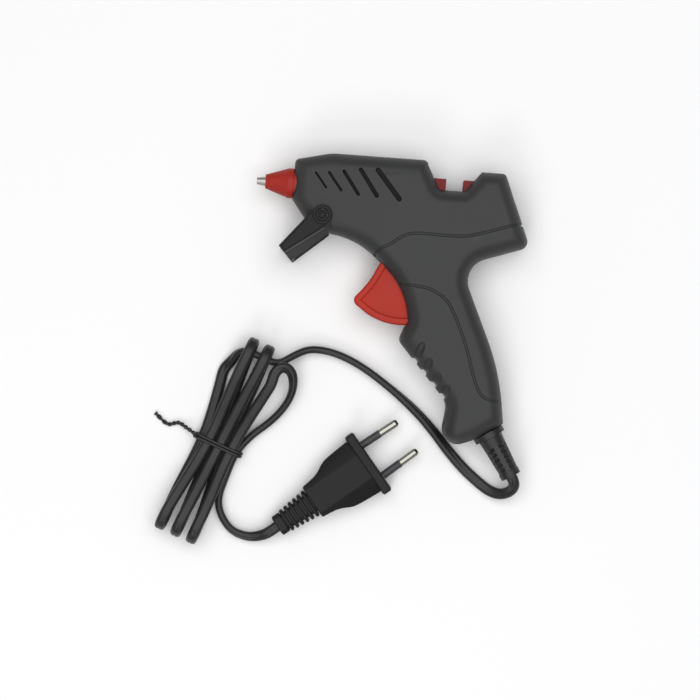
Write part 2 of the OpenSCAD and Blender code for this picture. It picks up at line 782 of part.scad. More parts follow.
// A contact plate with its tab towards one side of the gun
module contact(y, z) {
  block([block_x0 + 1, y, -slot_half + 0.6], [block_x1, y + contact_h, slot_half - 0.6]);
  block([block_x1 - 1, y, z - tab_w / 2], [tab_x1, y + contact_h, z + tab_w / 2]);
}

module contact_upper() {
  color(steel) gun() contact(upper_contact_y, tab_z);
}

module contact_lower() {
  color(steel) gun() contact(lower_contact_y, -tab_z);
}

module heater_insulation() {
  color("goldenrod") gun() for (y = [slot_y0, upper_sheet_y])
    block([block_x0 - 0.5, y, -slot_half + fit], [block_x1 + 0.5, y + sheet_h, slot_half - fit]);
}

module heater_clip() {
  half = block_w / 2;
  x0 = (block_x0 + block_x1) / 2 - 3;
  color(steel) gun() difference() {
    block([x0, block_y0 - clip_h, -half - clip_h], [x0 + 6, slot_y1, half + clip_h]);
    block([x0 - 1, block_y0, -half], [x0 + 7, slot_y1 + 1, half]);
  }
}

module inlet_sleeve() {
  color(red) gun() turned([
    [stick_r, chamber_x1], [chamber_r, chamber_x1], [chamber_r, chamber_x1 + 2], [sleeve_r, chamber_x1 + 2],
    [sleeve_r, sleeve_x1], [stick_r + 0.8, sleeve_x1], [stick_r, sleeve_x1 - 2]
  ]);
}

module sleeve_clamp() {
  x = chamber_x1 + 4;
  color(steel) gun() turned([
    [sleeve_r + seat_gap, x], [sleeve_r + 0.8, x], [sleeve_r + 0.8, x + 3], [sleeve_r + seat_gap, x + 3]
  ]);
}

module stick_guide() {
  lip = guide_r + 1;
  lip_x1 = saddles[3][0] - rib_w / 2 - seat_gap;
  color(charcoal) gun() turned([
    [stick_r, guide_x0], [lip, guide_x0], [lip, lip_x1], [guide_r, lip_x1], [guide_r, guide_x1],
    [stick_r + 1, guide_x1], [stick_r, guide_x1 - 2]
  ]);
}

module feed_carriage() {
  slot_half_x = arm_tip_r + slot_gap;
  color(dark_red) gun() difference() {
    union() {
      block([plate_x0, plate_y0, -carriage_half], [rear_x1, plate_y1, carriage_half]);
      for (x = [[carriage_x0, front_x1], [rear_x0, rear_x1]])
        block([x[0], plate_y0, -carriage_half], [x[1], carriage_top, carriage_half]);
    }
    translate([carriage_x0 - 1, 0, 0]) rotate([0, 90, 0])
      cylinder(h = rear_x1 - carriage_x0 + 2, r = stick_r + slot_gap);
    block(
      [pivot_x - slot_half_x, plate_y0 - 1, -arm_half - slot_gap],
      [pivot_x + slot_half_x, plate_y1 + 1, arm_half + slot_gap]
    );
  }
}

module feed_gripper() {
  x = front_x1 + 3;
  leaf = 0.8;
  foot = 4;
  rise = -stick_r - fit;
  color(steel) gun() slab(-3.5, 3.5)
    polygon([
      [x, plate_y1], [x + foot, plate_y1], [x + foot, plate_y1 + leaf], [x + leaf, plate_y1 + leaf],
      [x + leaf - 1, rise], [x - 1, rise + leaf]
    ]);
}

// The trigger's side view as [x, y, corner radius], clockwise from the top of its front edge
trigger_hub_r = 6;
trigger_low = trigger_r + 3;
hub_front = 5;
hub_rear = 5.5;
hub_top = 3.6;
tip_reach = 26.1;
tip_drop = 25.8;
waist_reach = 18.15;
waist_drop = 16.4;
front_reach = 12.7;
front_drop = 5.3;
rim_drop = 13;
trigger_corners = [
  [pivot_x - hub_front, pivot_y + hub_top, 2],
  [pivot_x + hub_rear, pivot_y + hub_top - 1, 2],
  [pivot_x + trigger_low * cos(284), pivot_y + trigger_low * sin(284), 1],
  [pivot_x + trigger_low * cos(252), pivot_y + trigger_low * sin(252), 1],
  [pivot_x - tip_reach, pivot_y - tip_drop, 3],
  [pivot_x - waist_reach, pivot_y - waist_drop, 40],
  [pivot_x - front_reach, pivot_y - front_drop, 6]
];
module trigger_side(d) {
  intersection() {
    polygon(outline(trigger_corners, d));
    translate([pivot_x, pivot_y]) circle(r = trigger_r - d, $fn = 128);
  }
}

module trigger() {
  panel = trigger_half - panel_deep;
  color(red) gun() difference() {
    union() {
      slab(-panel, panel) trigger_side(0);
      slab(-trigger_half, trigger_half) difference() {
        trigger_side(0);
        trigger_side(rim_w);
        translate([pivot_x, pivot_y - rim_drop]) square(2 * trigger_r);
      }
      bar([pivot_x, pivot_y], trigger_hub_r, -panel, panel);
      block([arm_front, pivot_y, -arm_half], [2 * pivot_x - arm_front, plate_mid, arm_half]);
      bar([pivot_x, plate_mid], arm_tip_r, -arm_half, arm_half);
    }
    bar([pivot_x, pivot_y], pin_r + turn_gap, -big, big);
  }
}

module trigger_pin() {
  color(steel) gun() bar([pivot_x, pivot_y], pin_r, -pin_half, pin_half);
}

module return_spring() {
  x0 = spring_post_x + spring_wire_r + 0.1;
  x1 = arm_front - spring_wire_r - 0.1;
  curl_steps = 8;
  last = spring_turns * curl_steps;
  points = [
    for (i = [0:last])
      let (a = 360 * i / curl_steps)
      [x0 + (x1 - x0) * i / last, spring_y + spring_r * cos(a), spring_r * sin(a)]
  ];
  echo(spring_gap = (x1 - x0) / spring_turns - 2 * spring_wire_r);
  color(steel) gun()
    tube(points, fixed_sides(tangents(points), [1, 0, 0]), 2 * spring_wire_r, 2 * spring_wire_r, 6);
}

// The stand's arm in the side view, with its pivot at the origin
leg_angle = 230;
leg_shape = [
  [-7.2, 1.5], [-8.4, -2.2], [-20.4, -16.9], [-17.2, -20.2], [-13.7, -24.1], [3.6, -9.2], [4.4, -2]
];
leg_end = [-17.05, -20.5];
ridge_w = 1.6;
module stand_arm() {
  difference() {
    union() {
      slab(arm_z0, arm_z1) {
        polygon(leg_shape);
        circle(r = eye_r);
      }
      slab(arm_z0, arm_top) {
        circle(r = eye_r);
        slot([-2.6, -3.1], leg_end * 0.97, ridge_w);
        intersection() {
          polygon(leg_shape);
          difference() {
            polygon(leg_shape);
            translate([0.95, 0.35]) rotate(0.5) scale(0.9) polygon(leg_shape);
          }
        }
      }
    }
    bar([0, 0], rivet_r + turn_gap, 0, big);
    bar([0, 0], rivet_head_r + 0.1, rivet_seat, big);
  }
}

module stand() {
  color(charcoal) gun() translate([stand_x, stand_y, 0]) {
    stand_arm();
    mirror([0, 0, 1]) stand_arm();
    slab(-arm_z0 - bite, arm_z0 + bite) intersection() {
      polygon(leg_shape);
      translate(leg_end) rotate(leg_angle) translate([-foot_bar - 0.4, -6]) square([foot_bar, 12]);
    }
  }
}

module stand_rivets() {
  color(charcoal) gun() for (s = [0, 1]) mirror([0, 0, s]) {
    bar([stand_x, stand_y], rivet_r, inner_z(stand_x) - rivet_in + 0.5, rivet_seat + 0.1);
    bar([stand_x, stand_y], rivet_head_r, rivet_seat + 0.02, arm_top - 0.1);
    bar([stand_x, stand_y], 1.15, arm_top - 0.2, arm_top);
  }
}

module guard_place() {
  gun() translate([guard_at[0], guard_at[1], 0]) rotate([0, 0, guard_angle]) rotate([0, 90, 0]) children();
}

module cord_guard() {
  flange = 2.9;
  end_flange = 3;
  bar = 2.4;
  ribs_from = guard_collar_len;
  ribs_to = guard_len - end_flange;
  pitch = (ribs_to - ribs_from) / guard_ribs;
  core_r = guard_end_r - 1.2;
  shoulder_r = guard_rib_r - 0.5;
  color(cord_black) guard_place() {
    rotate_extrude($fn = 48) polygon(concat(
      [
        [0, -guard_root], [guard_neck_r + 1.2, -guard_root], [guard_neck_r + 1.2, -wall - 0.4],
        [guard_neck_r, -wall - 0.4], [guard_neck_r, 0.1], [guard_collar_r, 0.1], [guard_collar_r, flange],
        [guard_rib_r, flange + 0.2], [shoulder_r, ribs_from]
      ],
      [for (i = [1:guard_ribs])
        let (r = shoulder_r + (guard_end_r - shoulder_r) * i / guard_ribs, s = ribs_from + i * pitch)
        each [[core_r, s - pitch + 0.1], [core_r, s - 0.45 * pitch], [r, s - 0.4 * pitch], [r, s]]],
      [[guard_end_r + 0.4, ribs_to + 0.1], [guard_end_r + 0.4, guard_len], [0, guard_len]]
    ));
    for (turn = [0, 90])
      rotate([0, 0, turn]) rotate([90, 0, 0]) linear_extrude(bar, center = true) polygon([
        [-shoulder_r, ribs_from - 1], [shoulder_r, ribs_from - 1], [guard_end_r, ribs_to + 1],
        [-guard_end_r, ribs_to + 1]
      ]);
  }
}

// The clamp bar lies across both wires on two bosses
clamp_screw_side = 6;
clamp_screw_r = 1.1;
clamp_boss_r = 2.6;
clamp_screw_len = 6;
clamp_wire_side = 1.5;
clamp_z = wire_r;
clamp_bar = [5, 17, 2.4];
module cord_clamp() {
  color("dimgray") gun() difference() {
    translate([clamp_at[0], clamp_at[1], clamp_z]) rotate([0, 0, guard_angle])
      translate([-clamp_bar[0] / 2, -clamp_bar[1] / 2, 0]) cube(clamp_bar);
    for (s = [-1, 1])
      bar(clamp_at + guard_side * clamp_screw_side * s, clamp_screw_r + 2 * seat_gap, 0, big);
  }
}

module cord_clamp_screws() {
  top = clamp_z + clamp_bar[2];
  color(steel) gun() for (s = [-1, 1]) {
    place = clamp_at + guard_side * clamp_screw_side * s;
    bar(place, clamp_screw_r, -clamp_screw_len + 1, top + 0.1);
    bar(place, 2 * clamp_screw_r, top, top + 1.4);
  }
}

// A wire from the guard's inner end, under the clamp, through its points and to its crimp
module wire(points, side, y, z) {
  start = guard_at - guard_dir * guard_root + guard_side * clamp_wire_side * side;
  held = clamp_at + guard_side * clamp_wire_side * side;
  route = concat(
    [[start[0], start[1], 0], [held[0], held[1], 0]],
    points,
    [[tab_x1 + crimp_len + 2, y, z], [tab_x1 + crimp_len, y, z]]
  );
  line = curve(route, 2);
  tube(line, fixed_sides(tangents(line), [0.05, 0.1, 1]), 2 * wire_r, 2 * wire_r, 8);
}

module wire_live() {
  color("saddlebrown") gun() wire(live_points, 1, upper_contact_y + contact_h / 2, tab_z);
}

module wire_neutral() {
  color("steelblue") gun() wire(neutral_points, -1, lower_contact_y + contact_h / 2, -tab_z);
}

module wire_crimps() {
  ends = [[upper_contact_y + contact_h / 2, tab_z], [lower_contact_y + contact_h / 2, -tab_z]];
  color(steel) gun() for (e = ends)
    translate([tab_x1, e[0], e[1]]) rotate([0, 90, 0]) cylinder(h = crimp_len, r = crimp_r);
}

// The hank: bottom runs on the floor, top runs over them, folded upright at both ends.
// A place on it is given by the distance along the hank, the layer's height and the loop's number.
function ease(s) = let (c = max(0, min(1, s))) c * c * (3 - 2 * c);
function hank_reach(x) = abs(x) / ((x < 0 ? hank_upper : hank_lower) - hank_fold_r - cord_h / 2);
function hank_step(x) = hank_pitch + (hank_pitch_end - hank_pitch) * ease(hank_reach(x));
function hank_low(x) = cord_floor + hank_lift * (1 - ease(hank_reach(x) * 1.6));
function hank_high(x) =
  let (waist = cord_floor + hank_lift + hank_layer)
  waist + (cord_floor + 2 * hank_fold_r - waist) * ease(hank_reach(x));
function hank_point(x, z, i) =
  let (p = hank_at + hank_dir * x + hank_side * (i - hank_middle) * hank_step(x))
  [p[0], p[1], z];
hank_x0 = -(hank_upper - hank_fold_r - cord_h / 2);
hank_x1 = hank_lower - hank_fold_r - cord_h / 2;
hank_in = hank_x0 + 18;
hank_out = hank_x0 + 12;
function hank_loop(i) =
  let (first = i == 0 ? hank_in : hank_x0, last = i == loops - 1 ? hank_out : hank_x0)
  concat(
    [for (k = [0:run_steps - 1])
      let (x = first + (hank_x1 - first) * k / run_steps)
      hank_point(x, hank_low(x), i - 0.5 + 0.5 * k / run_steps)],
    [for (k = [0:fold_steps - 1])
      let (a = 180 * k / fold_steps)
      hank_point(hank_x1 + hank_fold_r * sin(a), cord_floor + hank_fold_r * (1 - cos(a)), i)],
    [for (k = [0:run_steps - (i == loops - 1 ? 0 : 1)])
      let (x = hank_x1 + (last - hank_x1) * k / run_steps)
      hank_point(x, hank_high(x), i + 0.5 * k / run_steps)],
    i == loops - 1 ? [] : [for (k = [0:fold_steps - 1])
      let (a = 180 * k / fold_steps)
      hank_point(hank_x0 - hank_fold_r * sin(a), cord_floor + hank_fold_r * (1 + cos(a)), i + 0.5)]
  );
hank_line = [for (i = [0:loops - 1]) each hank_loop(i)];
hank_last = len(hank_line) - 1;
hank_start = hank_line[0];
hank_end = hank_line[hank_last];
hank_start_dir = unit(hank_line[1] - hank_line[0]);
hank_end_dir = unit(hank_line[hank_last] - hank_line[hank_last - 1]);
function hank_rings() =
  let (t = tangents(hank_line), s = fixed_sides(t, [hank_side[0], hank_side[1], 0]))
  [for (i = [0:hank_last]) section(hank_line[i], t[i], s[i], cord_w, cord_h, hank_sides)];
function closest(r, i, j) = min([for (a = r[i], b = r[j]) norm(a - b)]);
function hank_gap() =
  let (r = hank_rings(), apart = fold_steps + 2)
  min([for (i = [0:hank_last - apart - 1], j = [i + apart:hank_last]) closest(r, i, j)]);

module cord_hank() {
  echo(hank_gap = hank_gap());
  t = tangents(hank_line);
  color(cord_black) gun()
    tube(hank_line, fixed_sides(t, [hank_side[0], hank_side[1], 0]), cord_w, cord_h, hank_sides);
}

// A free stretch of the flat cord, which turns on its way
module cord_run(route) {
  line = curve(route, 2);
  middle = places(line);
  color(cord_black) gun() tube(middle, rolled_sides(tangents(middle), line), cord_w, cord_h, cord_sides);
}

module cord_lead() {
  tip = [guard_tip[0], guard_tip[1], 0];
  cord_run(concat(
    [with_turn(tip, 0), with_turn(tip + [guard_dir[0], guard_dir[1], 0] * cord_w / 2, 0)],
    lead_points,
    [with_turn(hank_start - hank_start_dir * cord_w, 0), with_turn(hank_start, 0)]
  ));
}

module cord_tail() {
  rear = [plug_rear[0], plug_rear[1], plug_z];
  cord_run(concat(
    [with_turn(hank_end, 0), with_turn(hank_end + hank_end_dir * cord_w / 2, 0)],
    tail_points,
    [with_turn(rear - [plug_dir[0], plug_dir[1], 0] * cord_w, 0), with_turn(rear, 0)]
  ));
}

module cord_tie() {
  half = 1.5 * hank_pitch + cord_w / 2 + 0.4;
  inner = [2 * half, hank_lift - tie_h + hank_layer + cord_h + 0.4];
  band = 2.4;
  tail = curve(tie_tail_points, 3);
  color(cord_black) gun() {
    translate([hank_at[0], hank_at[1], floor_z]) rotate([0, 0, hank_angle + 90]) rotate([90, 0, 0])
      translate([0, 0, -band / 2]) linear_extrude(band) difference() {
        translate([-half - tie_h, 0]) square(inner + [2 * tie_h, 2 * tie_h]);
        translate([-half, tie_h]) square(inner);
      }
    tube(tail, level_sides(tangents(tail)), 1.6, 1.6, 8);
  }
}

// The plug in its own frame: face at the origin, pins along +X
module plug_place() {
  gun() translate([plug_at[0], plug_at[1], plug_z]) rotate([0, 0, plug_angle]) children();
}

module plug_pin_axis(s) {
  translate([0, s * pin_spacing / 2, 0]) rotate([0, 0, -s * pin_tilt]) rotate([0, 90, 0]) children();
}

module plug_body() {
  color(cord_black) plug_place() difference() {
    union() {
      intersection() {
        slab(-plug_h / 2 + 0.7, plug_h / 2 - 0.7) polygon(outline(plug_corners, 0));
        translate([-plug_body_len - 1, 0, 0]) rotate([90, 0, 90]) linear_extrude(plug_body_len + 2) polygon([
          [-plug_w / 2 - 1, -plug_edge_h / 2], [-plug_panel, -plug_h / 2], [plug_panel, -plug_h / 2],
          [plug_w / 2 + 1, -plug_edge_h / 2], [plug_w / 2 + 1, plug_edge_h / 2], [plug_panel, plug_h / 2],
          [-plug_panel, plug_h / 2], [-plug_w / 2 - 1, plug_edge_h / 2]
        ]);
      }
      slab(-plug_h / 2, plug_h / 2) intersection() {
        polygon(outline(plug_corners, 0.7));
        translate([-plug_plate - 0.1, -plug_w]) square(2 * plug_w);
      }
    }
    for (s = [-1, 1])
      plug_pin_axis(s) translate([0, 0, -pin_root])
        cylinder(h = pin_root + 1, r = plug_pin_r - pin_sleeve_wall + seat_gap);
  }
}

module plug_guard() {
  fins = 6;
  end_len = 4.4;
  pitch = (plug_guard_len - end_len) / fins;
  color(cord_black) plug_place() translate([-plug_body_len, 0, 0]) {
    rotate([0, -90, 0]) cylinder(h = plug_guard_len, r1 = 5, r2 = 3.4);
    for (i = [0:fins - 1])
      let (wide = 15.2 - 0.55 * i, high = 10.6 - 0.5 * i)
        translate([-pitch * (i + 0.8), -wide / 2, -high / 2]) cube([pitch * 0.55, wide, high]);
    translate([-plug_guard_len, -5.5, -3.8]) cube([end_len, 11, 7.6]);
  }
}

module plug_pins() {
  neck = plug_pin_r - pin_sleeve_wall;
  nose = 1.2;
  color(steel) plug_place() for (s = [-1, 1])
    plug_pin_axis(s) rotate_extrude($fn = 48) polygon([
      [0, -pin_root], [neck, -pin_root], [neck, pin_sleeve_len + seat_gap], [plug_pin_r, pin_sleeve_len + seat_gap],
      [plug_pin_r, plug_pin_len - nose], [plug_pin_r - 0.8, plug_pin_len], [0, plug_pin_len]
    ]);
}

module plug_pin_sleeves() {
  neck = plug_pin_r - pin_sleeve_wall + seat_gap;
  color("dimgray") plug_place() for (s = [-1, 1])
    plug_pin_axis(s) rotate_extrude($fn = 48)
      polygon([[neck, 0.1], [plug_pin_r, 0.1], [plug_pin_r, pin_sleeve_len], [neck, pin_sleeve_len]]);
}

housing_left();
housing_right();
housing_screws();
nozzle_tip();
nozzle_cap();
melt_chamber();
heating_tablet();
contact_upper();
contact_lower();
heater_insulation();
heater_clip();
inlet_sleeve();
sleeve_clamp();
stick_guide();
feed_carriage();
feed_gripper();
trigger();
trigger_pin();
return_spring();
stand();
stand_rivets();
cord_guard();
cord_clamp();
cord_clamp_screws();
wire_live();
wire_neutral();
wire_crimps();
cord_lead();
cord_hank();
cord_tail();
cord_tie();
plug_body();
plug_guard();
plug_pins();
plug_pin_sleeves();
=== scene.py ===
import json
import math

import bmesh
import bpy
import numpy as np
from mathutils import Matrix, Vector, geometry


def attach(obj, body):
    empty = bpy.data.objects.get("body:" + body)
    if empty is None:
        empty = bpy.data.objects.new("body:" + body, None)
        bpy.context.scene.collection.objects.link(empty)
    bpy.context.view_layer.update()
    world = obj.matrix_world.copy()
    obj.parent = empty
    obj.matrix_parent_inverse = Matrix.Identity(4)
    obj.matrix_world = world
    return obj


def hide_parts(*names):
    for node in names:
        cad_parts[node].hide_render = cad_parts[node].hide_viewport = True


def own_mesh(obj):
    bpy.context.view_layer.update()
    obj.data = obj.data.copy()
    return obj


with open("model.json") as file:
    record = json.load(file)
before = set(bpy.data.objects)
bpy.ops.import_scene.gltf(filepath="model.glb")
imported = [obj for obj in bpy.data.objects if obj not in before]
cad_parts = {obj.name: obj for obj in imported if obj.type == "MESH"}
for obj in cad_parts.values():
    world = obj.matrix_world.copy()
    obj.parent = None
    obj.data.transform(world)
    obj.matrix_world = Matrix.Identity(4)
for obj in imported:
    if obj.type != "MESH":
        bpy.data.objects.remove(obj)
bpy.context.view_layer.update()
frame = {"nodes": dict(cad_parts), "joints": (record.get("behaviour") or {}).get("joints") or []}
scene = bpy.context.scene
scene.view_settings.view_transform = "Standard"

# the drawing frame is in mm: nozzle tip at x 0, barrel axis at y 0, parting plane at z 0
pivotPlace = {"trigger": (77.5, -30.4, 0.0)}
pivotRow = [j for j in frame["joints"] if j["name"] == "trigger_pull"][0]["pos_m"]
originShift = np.array(pivotRow) * 1000 - np.array(pivotPlace["trigger"])


def toRow(p):
    return (np.asarray(p, float) + originShift) / 1000


# camera straight above, turned a little so that the barrel slopes as in the photograph
cameraLook = {"centre": (52.7, -80.9), "roll": 4.3, "height": 1200.0, "width": 350.0, "sensor": 36.0}


def placeCamera(look):
    data = bpy.data.cameras.new("topCamera")
    obj = bpy.data.objects.new("topCamera", data)
    scene.collection.objects.link(obj)
    spot = toRow((look["centre"][0], look["centre"][1], 0))
    obj.location = (spot[0], spot[1], spot[2] + look["height"] / 1000)
    obj.rotation_euler = (0, 0, math.radians(look["roll"]))
    data.sensor_width = look["sensor"]
    data.lens = look["sensor"] * look["height"] / look["width"]
    data.clip_end = 20
    scene.camera = obj


placeCamera(cameraLook)
print("camera placed")


# finishes: what a finish doesn't say for itself is taken from here
finishBase = {
    "cloud": 60, "cloudDetail": 4, "spread": (0.3, 0.7), "edges": (0.52, 0.62), "grain": 2500, "grainDetail": 2,
    "depth": 0.0001, "metal": 0, "shine": 0.5,
}


def newFinish(name, look):
    look = {**finishBase, **look}
    mat = bpy.data.materials.new(name)
    mat.use_nodes = True
    tree = mat.node_tree
    shader = tree.nodes["Principled BSDF"]
    coords = tree.nodes.new("ShaderNodeTexCoord")
    cloud = tree.nodes.new("ShaderNodeTexNoise")   # broad unevenness of colour and gloss
    cloud.inputs["Scale"].default_value = look["cloud"]
    cloud.inputs["Detail"].default_value = look["cloudDetail"]
    tree.links.new(coords.outputs["Object"], cloud.inputs["Vector"])
    ramp = tree.nodes.new("ShaderNodeValToRGB")
    low, high = look["tones"]
    ramp.color_ramp.elements[0].position = look["spread"][0]
    ramp.color_ramp.elements[1].position = look["spread"][1]
    ramp.color_ramp.elements[0].color = (*low, 1)
    ramp.color_ramp.elements[1].color = (*high, 1)
    tree.links.new(cloud.outputs["Fac"], ramp.inputs["Fac"])
    colour = ramp.outputs["Color"]
    # paler edges from pointiness: partly real wear, partly painted highlight
    if look.get("wearAndHighlight"):
        shape = tree.nodes.new("ShaderNodeNewGeometry")
        edges = tree.nodes.new("ShaderNodeMapRange")   # edges turn paler: partly edge wear, partly a painted highlight along the edges
        edges.inputs["From Min"].default_value = look["edges"][0]
        edges.inputs["From Max"].default_value = look["edges"][1]
        edges.inputs["To Max"].default_value = look["wearAndHighlight"]
        tree.links.new(shape.outputs["Pointiness"], edges.inputs["Value"])
        rubAndHighlight = tree.nodes.new("ShaderNodeMix")
        rubAndHighlight.data_type = "RGBA"
        rubAndHighlight.inputs["B"].default_value = (*look["rubbedAndHighlight"], 1)
        tree.links.new(edges.outputs["Result"], rubAndHighlight.inputs["Factor"])
        tree.links.new(colour, rubAndHighlight.inputs["A"])
        colour = rubAndHighlight.outputs["Result"]
    tree.links.new(colour, shader.inputs["Base Color"])
    gloss = tree.nodes.new("ShaderNodeMapRange")
    gloss.inputs["From Min"].default_value = look["spread"][0]
    gloss.inputs["From Max"].default_value = look["spread"][1]
    gloss.inputs["To Min"].default_value = look["rough"][0]
    gloss.inputs["To Max"].default_value = look["rough"][1]
    tree.links.new(cloud.outputs["Fac"], gloss.inputs["Value"])
    tree.links.new(gloss.outputs["Result"], shader.inputs["Roughness"])
    grain = tree.nodes.new("ShaderNodeTexNoise")   # fine grain of the moulding or drawn metal
    grain.inputs["Scale"].default_value = look["grain"]
    grain.inputs["Detail"].default_value = look["grainDetail"]
    if look.get("stretch"):
        squeeze = tree.nodes.new("ShaderNodeMapping")
        squeeze.inputs["Scale"].default_value = look["stretch"]
        tree.links.new(coords.outputs["Object"], squeeze.inputs["Vector"])
        tree.links.new(squeeze.outputs["Vector"], grain.inputs["Vector"])
    else:
        tree.links.new(coords.outputs["Object"], grain.inputs["Vector"])
    bump = tree.nodes.new("ShaderNodeBump")
    bump.inputs["Strength"].default_value = look["bump"]
    bump.inputs["Distance"].default_value = look["depth"]
    tree.links.new(grain.outputs["Fac"], bump.inputs["Height"])
    tree.links.new(bump.outputs["Normal"], shader.inputs["Normal"])
    shader.inputs["Metallic"].default_value = look["metal"]
    shader.inputs["Specular IOR Level"].default_value = look["shine"]
    return mat


finishLooks = {
    "charcoalShell": {"tones": ((0.03, 0.0305, 0.032), (0.0385, 0.039, 0.0405)), "rough": (0.46, 0.56), "bump": 0.25,
                      "grain": 2600, "cloud": 45, "wearAndHighlight": 0.3, "rubbedAndHighlight": (0.07, 0.073, 0.077), "shine": 0.3},
    "redMoulding": {"tones": ((0.4, 0.02, 0.008), (0.47, 0.025, 0.01)), "rough": (0.4, 0.5), "bump": 0.15,
                    "cloud": 70, "wearAndHighlight": 0.4, "rubbedAndHighlight": (0.52, 0.05, 0.035), "shine": 0.22},
    "redSilicone": {"tones": ((0.34, 0.02, 0.013), (0.4, 0.026, 0.017)), "rough": (0.42, 0.52), "bump": 0.12,
                    "cloud": 90, "shine": 0.22},
    # the red moulding darkened: painted shade for the feed carriage inside the housing
    "redMouldingPaintedShade": {"tones": ((0.15, 0.014, 0.013), (0.18, 0.017, 0.015)), "rough": (0.45, 0.55), "bump": 0.12,
                        "shine": 0.2},
    "blackSheath": {"tones": ((0.015, 0.015, 0.016), (0.023, 0.023, 0.024)), "rough": (0.3, 0.4), "bump": 0.1,
                    "cloud": 120, "grain": 1800, "shine": 0.35},
    "blackPlug": {"tones": ((0.008, 0.008, 0.009), (0.012, 0.012, 0.0135)), "rough": (0.36, 0.46), "bump": 0.12,
                  "cloud": 80, "wearAndHighlight": 0.3, "rubbedAndHighlight": (0.035, 0.035, 0.037), "shine": 0.18},
    "blackTie": {"tones": ((0.008, 0.008, 0.008), (0.013, 0.013, 0.013)), "rough": (0.4, 0.5), "bump": 0.1},
    "nickelPin": {"tones": ((0.32, 0.32, 0.275), (0.37, 0.37, 0.33)), "rough": (0.16, 0.26), "metal": 1,
                  "bump": 0.05, "stretch": (1, 1, 8)},
    "nozzleAlloy": {"tones": ((0.38, 0.36, 0.35), (0.46, 0.43, 0.42)), "rough": (0.28, 0.4), "metal": 1, "bump": 0.12,
                    "stretch": (0.2, 1, 1)},
    # near-black: painted shade for the sheet behind the vents
    "ventShadeBlack": {"tones": ((0.01, 0.0102, 0.011), (0.014, 0.0142, 0.015)), "rough": (0.6, 0.7), "bump": 0.3,
                    "shine": 0.15},
    "sootyAlloy": {"tones": ((0.02, 0.02, 0.02), (0.035, 0.034, 0.033)), "rough": (0.6, 0.75), "metal": 0.3,
                   "bump": 0.2},
    "blackStand": {"tones": ((0.013, 0.013, 0.014), (0.019, 0.019, 0.02)), "rough": (0.42, 0.52), "bump": 0.2,
                   "wearAndHighlight": 0.7, "rubbedAndHighlight": (0.075, 0.075, 0.078), "shine": 0.16},
    # paler and glossier than blackStand: a painted highlight for the stand's ridge bead
    "paintedRidgeHighlight": {"tones": ((0.05, 0.05, 0.052), (0.07, 0.07, 0.072)), "rough": (0.36, 0.46), "bump": 0.15,
                    "shine": 0.4},
    "plainSteel": {"tones": ((0.5, 0.5, 0.52), (0.6, 0.6, 0.62)), "rough": (0.25, 0.36), "metal": 1, "bump": 0.08},
    "darkSteel": {"tones": ((0.08, 0.08, 0.085), (0.12, 0.12, 0.125)), "rough": (0.45, 0.6), "metal": 1, "bump": 0.15},
    "greySleeve": {"tones": ((0.03, 0.03, 0.033), (0.04, 0.04, 0.044)), "rough": (0.4, 0.5), "bump": 0.1},
    "tabletCeramic": {"tones": ((0.7, 0.67, 0.6), (0.78, 0.75, 0.68)), "rough": (0.6, 0.7), "bump": 0.2},
    "amberFilm": {"tones": ((0.55, 0.33, 0.06), (0.62, 0.4, 0.08)), "rough": (0.3, 0.4), "bump": 0.1},
    "brownWire": {"tones": ((0.18, 0.07, 0.03), (0.22, 0.09, 0.04)), "rough": (0.35, 0.45), "bump": 0.1},
    "blueWire": {"tones": ((0.04, 0.14, 0.4), (0.06, 0.18, 0.48)), "rough": (0.35, 0.45), "bump": 0.1},
}
finishes = {name: newFinish(name, look) for name, look in finishLooks.items()}
print("finishes made:", len(finishes))


# mesh helpers
def meshPiece(name, points, faces, finish, body="gun", smooth=35.0):
    mesh = bpy.data.meshes.new(name)
    mesh.from_pydata([tuple(p) for p in toRow(points)], [], [tuple(int(i) for i in f) for f in faces])
    mesh.validate()
    work = bmesh.new()
    work.from_mesh(mesh)
    bmesh.ops.recalc_face_normals(work, faces=work.faces)
    work.to_mesh(mesh)
    work.free()
    obj = bpy.data.objects.new(name, mesh)
    scene.collection.objects.link(obj)
    shadeBySharpness(obj, smooth)
    obj.data.materials.append(finishes[finish])
    if body:
        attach(obj, body)
    return obj


def shadeBySharpness(obj, angle):
    mesh = obj.data
    mesh.polygons.foreach_set("use_smooth", [True] * len(mesh.polygons))
    mesh.set_sharp_from_angle(angle=math.radians(angle))


def unit(v):
    return v / np.linalg.norm(v)


leastRadius = 0.3   # what an inset leaves of a corner's rounding


def cornerOutline(corners, inset, steps):   # corners are x, y and radius
    rows = np.array(corners, float)
    n = len(rows)
    out = []
    for i in range(n):
        p, r = rows[i, :2], rows[i, 2]
        a = unit(p - rows[i - 1, :2])
        b = unit(rows[(i + 1) % n, :2] - p)
        na, nb = np.array([a[1], -a[0]]), np.array([b[1], -b[0]])
        spot = p + (na + nb) / (1 + na @ nb) * inset
        convex = a[0] * b[1] - a[1] * b[0] < 0
        r = max(r - inset, leastRadius) if convex else r + inset
        turn = math.acos(max(-1, min(1, a @ b)))
        side = -1 if convex else 1
        start = spot - a * r * math.tan(turn / 2)
        middle = start - na * r * side
        v = start - middle
        for k in range(steps + 1):
            t = side * turn * k / steps
            c, s = math.cos(t), math.sin(t)
            out.append(middle + np.array([v[0] * c - v[1] * s, v[0] * s + v[1] * c]))
    return np.array(out)


def ringFaces(count, total, closed=False):
    faces = []
    for i in range(total if closed else total - 1):
        j = (i + 1) % total
        for k in range(count):
            m = (k + 1) % count
            faces.append((i * count + k, i * count + m, j * count + m, j * count + k))
    return faces


def cappedFaces(count, total):
    last = (total - 1) * count
    return ringFaces(count, total) + [tuple(range(count)), tuple(range(last, last + count))]


def stackedSections(sections):
    return np.concatenate([np.array(s) for s in sections]), cappedFaces(len(sections[0]), len(sections))


def joinedMesh(parts):
    points, faces = [], []
    for pts, fcs in parts:
        first = len(points)
        points.extend(np.asarray(pts).tolist())
        faces.extend([tuple(first + i for i in f) for f in fcs])
    return points, faces


